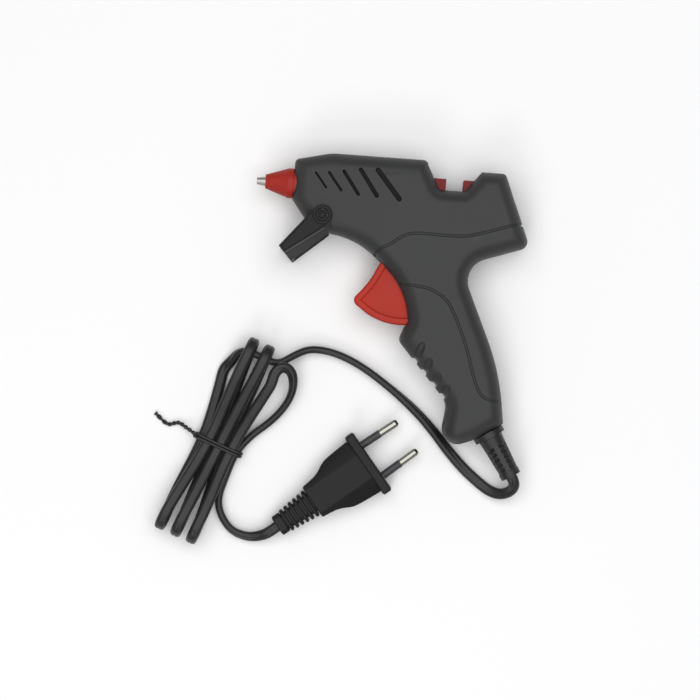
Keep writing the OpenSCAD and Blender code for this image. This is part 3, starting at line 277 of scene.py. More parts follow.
def polyDistance(points, loop):
    a = loop
    b = np.roll(loop, -1, axis=0)
    ab = b - a
    best = np.full(len(points), 1e9)
    for i in range(len(a)):
        t = np.clip(((points - a[i]) @ ab[i]) / max(ab[i] @ ab[i], 1e-12), 0, 1)
        gap = points - (a[i] + t[:, None] * ab[i])
        best = np.minimum(best, np.hypot(gap[:, 0], gap[:, 1]))
    return best


def inLoop(points, loop):
    x, y = points[:, 0], points[:, 1]
    inside = np.zeros(len(points), bool)
    a, b = loop, np.roll(loop, -1, axis=0)
    for i in range(len(a)):
        cross = (a[i, 1] > y) != (b[i, 1] > y)
        at = (b[i, 0] - a[i, 0]) * (y - a[i, 1]) / (b[i, 1] - a[i, 1] + 1e-15) + a[i, 0]
        inside ^= cross & (x < at)
    return inside


def fillCap(loop, spacing, keep):
    low, high = loop.min(0), loop.max(0)
    gx, gy = np.meshgrid(np.arange(low[0], high[0], spacing), np.arange(low[1], high[1], spacing))
    grid = np.stack([gx.ravel(), gy.ravel()], 1)
    grid = grid[inLoop(grid, loop)]
    grid = grid[polyDistance(grid, loop) > keep]
    flat = [Vector(p) for p in loop] + [Vector(p) for p in grid]
    edges = [(i, (i + 1) % len(loop)) for i in range(len(loop))]
    verts, _, faces, origin, _, _ = geometry.delaunay_2d_cdt(flat, edges, [], 1, 1e-5)
    back = [o[0] if o else -1 for o in origin]
    return np.array([[v[0], v[1]] for v in verts]), faces, back


# the two shells
shellLook = {
    "half": 14.0, "wall": 2.0, "round": 7.5, "land": 3.0, "noseX": 18.4, "noseHalf": 9.5, "taperX": 70.0,
    "taperSoft": 6.0, "edgeSteps": 12, "cornerSteps": 10, "seam": 0.3, "innerEvery": 3, "capGrid": 3.0, "capKeep": 1.6,
    "sharp": 30,
}
shellCorners = [
    (18.4, 12, 2.5), (36.5, 16.3, 25), (83.9, 16.3, 3), (91.2, 2.3, 2), (103.5, 2.3, 2), (111.1, 12.4, 2.5),
    (123.6, 12.4, 2.5), (138.2, -23.2, 4), (104.5, -34.9, 11.5), (127.8, -86, 120), (131.6, -112, 1.5),
    (117, -121.3, 3), (99.9, -128.1, 7.8), (102.8, -103.6, 8), (76.2, -74.1, 4), (80, -64.3, 3), (78, -50, 38),
    (53.8, -25.8, 41), (29.2, -22.3, 6), (18.4, -8.2, 1.5),
]
shellEdge = cornerOutline(shellCorners, 0, shellLook["cornerSteps"])


def sideHeight(x):
    s = shellLook
    slope = (s["half"] - s["noseHalf"]) / (s["taperX"] - s["noseX"])
    run = np.maximum(s["taperX"] - np.asarray(x, float), 0)
    soft = s["taperSoft"]
    drop = np.where(run < soft, slope * run * run / (2 * soft), slope * (run - soft / 2))
    return s["half"] - drop


def shellHeight(points):
    s = shellLook
    points = np.asarray(points, float)[:, :2]
    d = np.where(inLoop(points, shellEdge), polyDistance(points, shellEdge), 0)
    q = np.clip((s["round"] - d) / s["round"], 0, 1)
    return (s["land"] + (s["half"] - s["land"]) * np.sqrt(1 - q * q)) * sideHeight(points[:, 0]) / s["half"]


def bareMesh(name, points, faces):   # a shell before its cuts, or a cutter
    return meshPiece(name, points, faces, "charcoalShell", body=None)


def buildShell(name, sign):
    s = shellLook
    outer = [(s["seam"], 0), (0, s["seam"]), (0, s["land"])]
    inner = [(s["wall"], 0), (s["wall"], s["land"])]
    for k in range(1, s["edgeSteps"] + 1):
        a = math.pi / 2 * k / s["edgeSteps"]
        outer.append((s["round"] * (1 - math.cos(a)), s["land"] + (s["half"] - s["land"]) * math.sin(a)))
        if k % s["innerEvery"] == 0:
            room = s["half"] - s["wall"] - s["land"]
            inner.append((s["wall"] + (s["round"] - s["wall"]) * (1 - math.cos(a)), s["land"] + room * math.sin(a)))
    points, faces = [], []

    def addSkin(profile, shrink):
        first = len(points)
        loops = [cornerOutline(shellCorners, d, s["cornerSteps"]) for d, z in profile]
        for loop, (d, z) in zip(loops, profile):
            full = s["half"] - shrink
            height = z * (sideHeight(loop[:, 0]) - shrink) / full
            points.extend(np.column_stack([loop, height]).tolist())
        count = len(loops[0])
        faces.extend([tuple(first + i for i in f) for f in ringFaces(count, len(profile))])
        lastRing = first + (len(profile) - 1) * count
        flat, cap, back = fillCap(loops[-1], s["capGrid"], s["capKeep"])
        index = []
        for p, b in zip(flat, back):
            if 0 <= b < count:
                index.append(lastRing + b)
            else:
                index.append(len(points))
                points.append([p[0], p[1], float(sideHeight(p[0]) - shrink)])
        faces.extend([tuple(index[i] for i in f) for f in cap])
        return first, count

    outFirst, count = addSkin(outer, 0)
    inFirst, _ = addSkin(inner, s["wall"])
    for k in range(count):
        m = (k + 1) % count
        faces.append((outFirst + k, outFirst + m, inFirst + m, inFirst + k))
    points = np.array(points)
    points[:, 2] *= sign
    return bareMesh(name, points, faces)


def prismCutter(name, loop, z0, z1):
    points = [(p[0], p[1], z) for z in (z0, z1) for p in loop]
    return bareMesh(name, points, cappedFaces(len(loop), 2))


def slotLoop(a, b, w, steps=8):
    a, b = np.array(a, float), np.array(b, float)
    along = unit(b - a)
    side = np.array([-along[1], along[0]])
    loop = []
    for end, start in ((b, -90), (a, 90)):
        for k in range(steps + 1):
            t = math.radians(start + 180 * k / steps)
            loop.append(end + w / 2 * (along * math.cos(t) + side * math.sin(t)))
    return np.array(loop)


def smoothLine(points, steps):
    p = np.array(points, float)
    out = []
    for i in range(len(p) - 1):
        a, b, c, d = p[max(i - 1, 0)], p[i], p[i + 1], p[min(i + 2, len(p) - 1)]
        for k in range(steps):
            t = k / steps
            square, cube = 2 * a - 5 * b + 4 * c - d, 3 * b - a - 3 * c + d
            out.append(0.5 * (2 * b + (c - a) * t + square * t * t + cube * t ** 3))
    out.append(p[-1])
    return np.array(out)


def evenLine(p, gap):
    run = np.concatenate([[0], np.cumsum(np.linalg.norm(np.diff(p[:, :3], axis=0), axis=1))])
    count = max(2, int(round(run[-1] / gap)) + 1)
    at = np.linspace(0, run[-1], count)
    return np.column_stack([np.interp(at, run, p[:, k]) for k in range(p.shape[1])])


def fairLine(p, rounds):
    for _ in range(rounds):
        q = p.copy()
        q[1:-1, :4] = 0.25 * p[:-2, :4] + 0.5 * p[1:-1, :4] + 0.25 * p[2:, :4]
        p = q
    return p


def lineTangents(p):
    t = np.empty_like(p)
    t[1:-1] = p[2:] - p[:-2]
    t[0], t[-1] = p[1] - p[0], p[-1] - p[-2]
    return t / np.linalg.norm(t, axis=1)[:, None]


def levelSides(t):
    sides = np.cross([0, 0, 1.0], t)
    return sides / np.linalg.norm(sides, axis=1)[:, None]


def tubeMesh(line, sides, profile):
    ups = np.cross(lineTangents(line), sides)
    points = np.concatenate([line[i] + profile[:, :1] * sides[i] + profile[:, 1:] * ups[i] for i in range(len(line))])
    return points, cappedFaces(len(profile), len(line))


def roundProfile(r, n):
    a = np.arange(n) * 2 * math.pi / n
    return np.column_stack([r * np.cos(a), r * np.sin(a)])


def cutAway(obj, cutters):
    for c in cutters:
        step = obj.modifiers.new("cut", "BOOLEAN")
        step.operation = "DIFFERENCE"
        step.solver = "EXACT"
        step.object = c
        bpy.context.view_layer.objects.active = obj
        bpy.ops.object.modifier_apply(modifier=step.name)
    for c in cutters:
        bpy.data.objects.remove(c, do_unlink=True)


vents = {
    "slots": [((29.3, 5.6), (34.9, -1.5)), ((35.9, 6.1), (42.4, -2.3)), ((43.2, 7.1), (51.0, -3.7)),
              ((51.4, 8.5), (60.2, -3.8)), ((59.9, 8.9), (71.4, -4.7))],
    "widths": (1.1, 1.4, 1.8, 2.2, 2.6),
}
grooves = {
    "upper": [(60.5, -34.6), (63.9, -29.8), (68.8, -27.0), (73.6, -23.4), (78.5, -21.2), (86.2, -20.7), (93.9, -20.9),
              (104.1, -20.6), (111.6, -19.0), (121.6, -15.7), (129.2, -13.4), (136, -12.2)],
    "lower": [(74, -46.2), (79, -46.5), (83.5, -46.9), (90.6, -48.2), (98.6, -53.1), (104.7, -63.3), (110.4, -76.7),
              (114.3, -88.7), (118.0, -96.9), (122.1, -100), (127, -101.2), (132, -102)],
    "radius": 0.8, "steps": 10, "sides": 10, "tailNotch": [(134.8, -11.3), (132.7, -12.6), (134.8, -13.8)],
}
# openings through the shells: depths from the parting plane, bores as from, to and radius
openings = {
    "notch": [(80.9, 9), (84.9, -2.7), (108.9, -2.7), (112.9, 9), (109.9, 16.3), (85.9, 16.3)],
    "sweepRadius": 36.9, "sweepAngles": range(197, 294, 3),   # the room that the trigger swings in
    "noseBore": (10, 23, 7.0), "rearBore": (124.6, 146, 5.7), "guardBore": (-6, 4, 4.7), "boreSides": 40,
    "screws": [(50, -17), (101, -27), (124, -19), (111, -98.1)], "screwRadius": 2.6, "screwSides": 24,
    "ventDeep": (4, 16), "tailDeep": (-1, 16), "notchDeep": (-1, 6.9), "sweepDeep": (-1, 6.5), "screwDeep": (16, 6),
}


def cutDepths(key, sign):
    return [z * sign for z in openings[key]]


def grooveCutter(name, route, sign):
    flat = smoothLine(route, grooves["steps"])
    line = np.column_stack([flat, shellHeight(flat) * sign])
    profile = roundProfile(grooves["radius"], grooves["sides"])
    return bareMesh(name, *tubeMesh(line, levelSides(lineTangents(line)), profile))


def triggerCutter(sign):
    x, y, _ = pivotPlace["trigger"]
    r = openings["sweepRadius"]
    loop = [(x, y)]
    for a in openings["sweepAngles"]:
        loop.append((x + r * math.cos(math.radians(a)), y + r * math.sin(math.radians(a))))
    return prismCutter("triggerCut", np.array(loop), *cutDepths("sweepDeep", sign))


def boreCutter(name, start, end, r):
    line = np.array([start, end], float)
    t = unit(line[1] - line[0])
    side = np.cross(t, [0, 0, 1.0])
    return bareMesh(name, *tubeMesh(line, np.array([unit(side)] * 2), roundProfile(r, openings["boreSides"])))


# finger hollows that run over the grip's front edge
gripHollows = {
    "mouths": [(85.2, -84.1), (90.1, -89.5), (95.3, -95.3), (100.2, -100.7)],
    "ends": [(88.8, -73.8), (93.2, -81.7), (98.0, -88.6), (102.9, -94.3)], "radius": 2.3, "depth": 1.3, "sides": 16,
    "outward": (-0.743, -0.67), "edgeHeights": (-0.8, 0.6, 2.0),   # square to the front edge, and heights there
    "inFrom": 0.08, "inSteps": 14, "slopeStep": 0.05, "gap": 0.5, "fairing": 4, "roundFrom": 0.8, "roundRun": 0.205,
}


def hollowCutter(mouth, end, sign):
    g = gripHollows
    stand = g["radius"] - g["depth"]   # the cutter's middle above the surface
    mouth, end = np.array(mouth), np.array(end)
    path = [[*(mouth + np.array(g["outward"]) * stand), z] for z in g["edgeHeights"]]
    flat = np.array([mouth + (end - mouth) * u for u in np.linspace(g["inFrom"], 1, g["inSteps"])])
    step = g["slopeStep"]
    slopeX = (shellHeight(flat + [step, 0]) - shellHeight(flat - [step, 0])) / (2 * step)
    slopeY = (shellHeight(flat + [0, step]) - shellHeight(flat - [0, step])) / (2 * step)
    normals = np.column_stack([-slopeX, -slopeY, np.ones(len(flat))])
    normals /= np.linalg.norm(normals, axis=1)[:, None]
    path = np.concatenate([path, np.column_stack([flat, shellHeight(flat)]) + normals * stand])
    line = fairLine(evenLine(path, g["gap"]), g["fairing"])
    t = lineTangents(line)
    across = np.array([-(end - mouth)[1], (end - mouth)[0], 0]) / np.linalg.norm(end - mouth)
    run = np.linspace(0, 1, len(line))
    late = np.clip((run - g["roundFrom"]) / g["roundRun"], 0, 1)
    radii = g["radius"] * np.sqrt(1 - late ** 2)   # round at the inner end
    n = g["sides"]
    points = []
    for i, r in enumerate(radii):
        side = unit(across - t[i] * (across @ t[i]))
        ring = roundProfile(r, n)
        points.append(line[i] + ring[:, :1] * side + ring[:, 1:] * np.cross(t[i], side))
    return bareMesh("hollowCut", np.concatenate(points) * [1, 1, sign], cappedFaces(n, len(line)))


guardAt, guardDir, guardLen = np.array([124.3, -116.65, 0]), np.array([0.537249, -0.843424, 0]), 25.0
for shellName, node, sign in (("shellLeft", "housing_left", 1), ("shellRight", "housing_right", -1)):
    shell = buildShell(shellName, sign)
    cutters = [prismCutter("ventCut", slotLoop(a, b, w), *cutDepths("ventDeep", sign))
               for (a, b), w in zip(vents["slots"], vents["widths"])]
    cutters += [grooveCutter("grooveCut", grooves[k], sign) for k in ("upper", "lower")]
    cutters.append(prismCutter("tailCut", np.array(grooves["tailNotch"]), *cutDepths("tailDeep", sign)))
    cutters += [hollowCutter(a, b, sign) for a, b in zip(gripHollows["mouths"], gripHollows["ends"])]
    cutters.append(prismCutter("notchCut", np.array(openings["notch"]), *cutDepths("notchDeep", sign)))
    cutters.append(triggerCutter(sign))
    for start, end, r in (openings["noseBore"], openings["rearBore"]):
        cutters.append(boreCutter("barrelCut", (start, 0, 0), (end, 0, 0), r))
    start, end, r = openings["guardBore"]
    cutters.append(boreCutter("guardCut", guardAt + guardDir * start, guardAt + guardDir * end, r))
    if sign < 0:
        screwLoop = roundProfile(openings["screwRadius"], openings["screwSides"])
        for p in openings["screws"]:
            cutters.append(prismCutter("screwCut", np.array(p) + screwLoop, *cutDepths("screwDeep", sign)))
    cutAway(shell, cutters)
    shadeBySharpness(shell, shellLook["sharp"])
    even = shell.modifiers.new("evenNormals", "WEIGHTED_NORMAL")
    even.keep_sharp = True
    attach(shell, "gun")
    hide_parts(node)
    print(shellName, len(shell.data.polygons), "faces")

# thin sheet behind the vents, against the shells' inner faces; its near-black finish is painted shade that darkens the
# vents
ventShadeSheet = {"low": ((27, -3.2), (74, -7.2)), "high": ((27, 7.4), (60, 10.4), (74, 10.4)), "thick": 0.6, "steps": 16,
              "overlap": 0.02}


def buildVentShadeSheet(name, sign):
    v = ventShadeSheet
    sections = []
    for x in np.linspace(v["low"][0][0], v["low"][-1][0], v["steps"]):
        low, high = (np.interp(x, *zip(*v[k])) for k in ("low", "high"))
        top = float(sideHeight(x)) - shellLook["wall"] + v["overlap"]
        under = top - v["thick"]
        sections.append([(x, low, under * sign), (x, high, under * sign), (x, high, top * sign), (x, low, top * sign)])
    points, faces = stackedSections(sections)
    return meshPiece(name, points, faces, "ventShadeBlack")


for shadeSheetName, sign in (("ventShadeSheetLeft", 1), ("ventShadeSheetRight", -1)):
    buildVentShadeSheet(shadeSheetName, sign)
print("vent screens made")


# the cord: from the guard to the hank, three loops, and on to the plug
cordLook = {"width": 5.6, "thick": 3.7, "floor": -14.0, "into": 2, "routeSteps": 8, "gap": 1.6, "fairing": 3,
            "endSteps": 8, "valleyHalf": 0.4, "valleyDeep": 0.22}
leadPoints = [   # x, y, z and the turn of the flat section, as in the solids
    (139.8, -143.2, -2.6, 0), (137.2, -146.4, -6.2, 0), (132.4, -147.7, -9.4, 0), (127, -145.9, -11.4, 0),
    (121, -141.7, -12.1, 0), (114, -136, -12, 10), (106, -128, -11.85, 26), (98, -119, -11.55, 46),
    (90, -111, -11.35, 58), (81, -103.5, -11.2, 74), (72, -97, -11.15, 86), (62, -90.5, -11.15, 90),
    (52, -85.5, -11.15, 90), (42, -82.5, -11.1, 90), (32, -82.3, -10.2, 90), (24.5, -86, -8.4, 90),
    (17, -90.3, -6.8, 90), (9, -87.9, -6, 90), (1.5, -85.2, -6.2, 90), (-3.8, -86.8, -8, 75), (-6.6, -91.2, -10.4, 35),
]
tailPoints = [
    (16.2, -94.6, 0.2, 0), (20.2, -91.6, -0.6, 15), (24.3, -94.2, -2.8, 40), (25.6, -100.2, -5.4, 65),
    (24.3, -107.2, -8.2, 85), (20.2, -114.4, -10.4, 90), (14, -121.2, -11.1, 90), (6.6, -127.6, -11.1, 90),
    (-0.7, -137, -10, 90), (-4.7, -148.2, -11.1, 90), (-7.8, -160, -11.1, 90), (-6, -168.5, -11.1, 85),
    (0, -176, -11.2, 75), (9, -178.6, -10.6, 55), (16, -177, -8.6, 20),
]
hank = {"at": (-10, -133.5), "angle": 249.6, "upper": 57, "lower": 51, "fold": 6.5, "pitch": 6.1, "pitchEnd": 8.6,
        "middle": 1.1, "layer": 4.4, "lift": 1.4, "settle": 1.6, "loops": 3, "runSteps": 24, "foldSteps": 12,
        "startIn": 18, "endIn": 12}
plugLook = {"at": (68, -135.5), "angle": 39.0, "z": -7.1, "bodyLen": 36.5, "guardLen": 21.5}
hankDir = np.array([math.cos(math.radians(hank["angle"])), math.sin(math.radians(hank["angle"]))])
hankSide = np.array([-hankDir[1], hankDir[0]])
cordFloor = cordLook["floor"] + cordLook["thick"] / 2
hankStart = -(hank["upper"] - hank["fold"] - cordLook["thick"] / 2)
hankStop = hank["lower"] - hank["fold"] - cordLook["thick"] / 2


def ease(s):
    c = max(0.0, min(1.0, s))
    return c * c * (3 - 2 * c)


def hankReach(x):
    return abs(x) / (-hankStart if x < 0 else hankStop)


def hankPoint(x, z, i):
    step = hank["pitch"] + (hank["pitchEnd"] - hank["pitch"]) * ease(hankReach(x))
    p = np.array(hank["at"]) + hankDir * x + hankSide * (i - hank["middle"]) * step
    return [p[0], p[1], z]


def hankLow(x):
    return cordFloor + hank["lift"] * (1 - ease(hankReach(x) * hank["settle"]))


def hankHigh(x):
    waist = cordFloor + hank["lift"] + hank["layer"]
    return waist + (cordFloor + 2 * hank["fold"] - waist) * ease(hankReach(x))


def hankLine():
    line = []
    last = hank["loops"] - 1
    rs, fs = hank["runSteps"], hank["foldSteps"]
    for i in range(hank["loops"]):
        first = hankStart + hank["startIn"] if i == 0 else hankStart
        final = hankStart + hank["endIn"] if i == last else hankStart
        for k in range(rs):
            x = first + (hankStop - first) * k / rs
            line.append(hankPoint(x, hankLow(x), i - 0.5 + 0.5 * k / rs))
        for k in range(fs):
            a = math.pi * k / fs
            z = cordFloor + hank["fold"] * (1 - math.cos(a))
            line.append(hankPoint(hankStop + hank["fold"] * math.sin(a), z, i))
        for k in range(rs + (1 if i == last else 0)):
            x = hankStop + (final - hankStop) * k / rs
            line.append(hankPoint(x, hankHigh(x), i + 0.5 * k / rs))
        if i < last:
            for k in range(fs):
                a = math.pi * k / fs
                z = cordFloor + hank["fold"] * (1 + math.cos(a))
                line.append(hankPoint(hankStart - hank["fold"] * math.sin(a), z, i + 0.5))
    return np.array(line)


def cordRoute():
    middle = hankLine()
    tip = guardAt + guardDir * guardLen
    plugDir = np.array([math.cos(math.radians(plugLook["angle"])), math.sin(math.radians(plugLook["angle"])), 0])
    rear = np.array([*plugLook["at"], plugLook["z"]]) - plugDir * (plugLook["bodyLen"] + plugLook["guardLen"])
    w, hidden = cordLook["width"], cordLook["into"]   # the ends run on inside the two reliefs
    intoHank = unit(middle[1] - middle[0])
    outOfHank = unit(middle[-1] - middle[-2])
    leadEnds = [tip - guardDir * hidden, tip + guardDir * w / 2, middle[0] - intoHank * w, middle[0]]
    tailEnds = [middle[-1], middle[-1] + outOfHank * w / 2, rear - plugDir * w, rear + plugDir * hidden]
    flat = [[*p, 0] for p in leadEnds + tailEnds]
    lead = smoothLine([*flat[:2], *leadPoints, *flat[2:4]], cordLook["routeSteps"])
    tail = smoothLine([*flat[4:6], *tailPoints, *flat[6:]], cordLook["routeSteps"])
    # the last column tells lead, hank and tail apart
    stages = [np.column_stack([lead[:-1], np.zeros(len(lead) - 1)]),
              np.column_stack([middle, np.zeros(len(middle)), np.ones(len(middle))]),
              np.column_stack([tail[1:], np.full(len(tail) - 1, 2.0)])]
    return np.concatenate(stages)


def cordSides(line):
    t = lineTangents(line[:, :3])
    sides = []
    for i, (turn, stage) in enumerate(line[:, 3:]):
        side = np.cross([0, 0, 1.0], t[i]) * (-1 if stage > 1.5 else 1)
        if 0.5 <= stage <= 1.5:
            side = np.array([*hankSide, 0])
        side = unit(side - t[i] * (side @ t[i]))
        a = math.radians(turn)
        sides.append(side * math.cos(a) + np.cross(t[i], side) * math.sin(a))
    for _ in range(2):
        sides = [sides[0]] + [unit(a + 2 * b + c) for a, b, c in zip(sides, sides[1:], sides[2:])] + [sides[-1]]
    return np.array(sides)


def flatProfile(look):
    w, h, n = look["width"], look["thick"], look["endSteps"]
    v = look["valleyHalf"]
    bottom = h / 2 - look["valleyDeep"]
    loop = []
    for end, start in ((1, -90), (-1, 90)):
        for k in range(n + 1):
            a = math.radians(start + 180 * k / n)
            loop.append((end * (w - h) / 2 + h / 2 * math.cos(a), h / 2 * math.sin(a)))
        loop += [(end * v, end * h / 2), (0, end * bottom), (-end * v, end * h / 2)]   # the valley between the cores
    return np.array(loop)


route = fairLine(evenLine(cordRoute(), cordLook["gap"]), cordLook["fairing"])
sides = cordSides(route)
route = route[:, :3]
points, faces = tubeMesh(route, sides, flatProfile(cordLook))
cordObj = meshPiece("mainsCord", points, faces, "blackSheath", smooth=60)
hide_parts("cord_lead", "cord_hank", "cord_tail")


# the tie: a coated wire round the waist with its ends twisted together
tieLook = {
    "half": 12.75, "top": 10.4, "square": 0.45, "wire": 0.75, "apart": 0.75, "steps": 64, "sides": 10,
    "tail": [(-21.2, -129.3, -9), (-26, -126.5, -11), (-31, -124, -12.6), (-36.5, -125, -13.0), (-43, -120, -13.1)],
    "tailSteps": 14, "twists": 5, "twistWide": 0.6, "twistHigh": 0.45, "strand": 0.5, "strandSides": 8,
}


def buildTie(look):
    n = look["steps"]
    loop = []
    for k in range(n):
        a = 2 * math.pi * k / n
        c, s = math.cos(a), math.sin(a)
        u = math.copysign(abs(c) ** look["square"], c) * look["half"]
        v = look["top"] / 2 + math.copysign(abs(s) ** look["square"], s) * (look["top"] / 2 - look["wire"])
        p = np.array(hank["at"]) + hankSide * u
        loop.append([p[0], p[1], cordLook["floor"] + v])
    loop = np.array(loop)
    across = np.array([*hankDir, 0])
    ring = roundProfile(look["wire"], look["sides"])
    parts = []
    for shift in (-look["apart"], look["apart"]):
        points = []
        for i in range(n):
            up = np.cross(unit(loop[(i + 1) % n] - loop[i - 1]), across)
            points.append(loop[i] + across * shift + ring[:, :1] * across + ring[:, 1:] * up)
        parts.append((np.concatenate(points), ringFaces(look["sides"], n, closed=True)))
    line = smoothLine(look["tail"], look["tailSteps"])
    t = lineTangents(line)
    side = levelSides(t)
    up = np.cross(t, side)
    for phase in (0, math.pi):
        turns = np.linspace(0, 2 * math.pi * look["twists"], len(line)) + phase
        wide, high = look["twistWide"] * np.cos(turns), look["twistHigh"] * np.sin(turns)
        strand = line + side * wide[:, None] + up * high[:, None]
        profile = roundProfile(look["strand"], look["strandSides"])
        parts.append(tubeMesh(strand, levelSides(lineTangents(strand)), profile))
    points, faces = joinedMesh(parts)
    obj = meshPiece("twistTie", points, faces, "blackTie", smooth=60)
    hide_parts("cord_tie")
    return obj


tieObj = buildTie(tieLook)
print("tie made")


# the trigger: a paddle with a rounded rim, a fine groove inside it and a flat panel
triggerLook = {
    "corners": [(72.5, -26.8, 2), (83.0, -27.8, 2), (86.3, -65.7, 1.2), (74.9, -66.9, 30), (67.4, -65.6, 30),
                (60.3, -62.7, 24), (51.4, -56.2, 3), (59.35, -46.8, 40), (64.8, -35.7, 8)],
    "profile": [(0, 0), (0, 4.6), (0.15, 5.3), (0.5, 5.8), (0.9, 6.0), (2.9, 6.0), (3.15, 5.85), (3.3, 5.4), (3.4, 5.0),
                (3.7, 4.85), (4.1, 4.9), (4.6, 5.05)],
    "arm": [(74.2, -30.0, 0.3), (74.2, -9.4, 2.9), (80.8, -9.4, 2.9), (80.8, -30.0, 0.3)],
    "armProfile": [(0, 0), (0, 3.2), (0.3, 3.5)], "steps": 8, "armSteps": 6, "hubLow": -43.4, "hubHalf": 5.0,
}


def mirroredSolid(corners, profile, steps, place=lambda p: p):
    rings = [(d, -z) for d, z in reversed(profile[1:])] + list(profile)
    loops = [cornerOutline(corners, d, steps) for d, z in rings]
    count = len(loops[0])
    points = np.concatenate([np.column_stack([loop, np.full(count, z)]) for loop, (d, z) in zip(loops, rings)])
    return np.array([place(p) for p in points]), cappedFaces(count, len(rings))


def clearHub(p):   # the upper rear corner is thinner
    half = triggerLook["hubHalf"]
    if p[0] > pivotPlace["trigger"][0] and p[1] > triggerLook["hubLow"]:
        return (p[0], p[1], max(-half, min(half, p[2])))
    return p


def buildTrigger(look):
    paddle = mirroredSolid(look["corners"], look["profile"], look["steps"], clearHub)
    lever = mirroredSolid(look["arm"], look["armProfile"], look["armSteps"])
    points, faces = joinedMesh([paddle, lever])
    obj = meshPiece("triggerPaddle", points, faces, "redMoulding", body="trigger", smooth=40)
    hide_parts("trigger")


buildTrigger(triggerLook)
print("trigger made")


# the trigger's spring: close turns at both ends, between the housing's post and the trigger's arm
springLook = {"from": 62.95, "to": 74.85, "y": -18.0, "radius": 2.8, "wire": 0.45, "turns": 7, "closed": 0.9,
              "steps": 28, "sides": 10, "squashTo": 0.71}


def buildSpring(look):
    u = np.linspace(0, look["turns"], look["turns"] * look["steps"] + 1)
    ends = look["closed"]
    pitch = 2 * look["wire"]   # turns touch at the ends
    openPitch = (look["to"] - look["from"] - 2 * look["wire"] - 2 * ends * pitch) / (look["turns"] - 2 * ends)
    last = ends * pitch + (look["turns"] - 2 * ends) * openPitch + (u - look["turns"] + ends) * pitch
    along = np.where(u > look["turns"] - ends, last, ends * pitch + (u - ends) * openPitch)
    along = np.where(u < ends, u * pitch, along)
    a = 2 * math.pi * u
    out = np.column_stack([np.zeros(len(u)), np.cos(a), np.sin(a)])
    axis = [look["from"] + look["wire"] + along, np.full(len(u), look["y"]), np.zeros(len(u))]
    line = out * look["radius"] + np.column_stack(axis)
    points, faces = tubeMesh(line, out, roundProfile(look["wire"], look["sides"]))
    obj = meshPiece("triggerSpring", points, faces, "plainSteel", smooth=60)
    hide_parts("return_spring")
    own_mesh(obj)


buildSpring(springLook)
print("spring made")


# the folding stand: two arms with a ridge and a round eye, joined by a bar at the foot
standLook = {
    "pivot": (34.0, -15.1), "low": 12.3, "panelSteps": 4, "sides": 48, "soft": 0.00012, "softAngle": 30,
    "panel": [(-7.2, 1.5, 1), (4.4, -2, 0.5), (1.1, -6.8, 0.4), (-17.2, -20.2, 0.4), (-20.4, -16.9, 0.4),
              (-8.4, -2.2, 2)],
    "panelProfile": [(0, 12.11), (0, 13.3), (0.2, 13.5), (0.75, 13.5), (0.95, 13.35), (1.05, 12.95)],
    "ridge": [(-17.2, -20.2, 13.15), (1.1, -6.8, 13.15), (4.4, -2, 13.15), (3.6, -9.2, 12.7), (-13.7, -24.1, 12.7)],
    "bead": [(1.6, -6.5), (-17.0, -20.05)], "beadHeight": 13.42, "beadRadius": 0.5, "beadSides": 12,
    "eye": [(3.2, 12.11), (3.2, 13.6), (3.35, 13.85), (3.6, 13.9), (4.15, 13.9), (4.45, 13.75), (4.7, 13.4),
            (4.85, 12.9), (4.85, 12.11)],
    "rivet": [(0.02, 13.9), (0.7, 13.88), (0.95, 13.75), (1.1, 13.4), (1.25, 13.2), (1.85, 13.2), (2.05, 13.35),
              (2.2, 13.7), (2.4, 13.82), (2.8, 13.8), (3.0, 13.6), (3.08, 13.15), (1.6, 13.1), (1.6, 9.0), (0.02, 9.0)],
    "foot": [(-20.1, -17.0, 0.3), (-18.5, -15.1, 0.3), (-12.2, -21.9, 0.3), (-13.8, -23.8, 0.3)],
    "footHalf": 12.5, "footSteps": 3,
}


def turnedRing(profile, centre, sign, n, closed):
    points = []
    for k in range(n):
        a = 2 * math.pi * k / n
        points.extend([(centre[0] + r * math.cos(a), centre[1] + r * math.sin(a), z * sign) for r, z in profile])
    count = len(profile)
    faces = ringFaces(count, n, closed=True)
    if not closed:
        faces = [f for f in faces if f[0] % count != count - 1]   # open at the axis, so no wall joins the two ends
        faces += [tuple(k * count for k in range(n)), tuple(k * count + count - 1 for k in range(n))]
    return points, faces


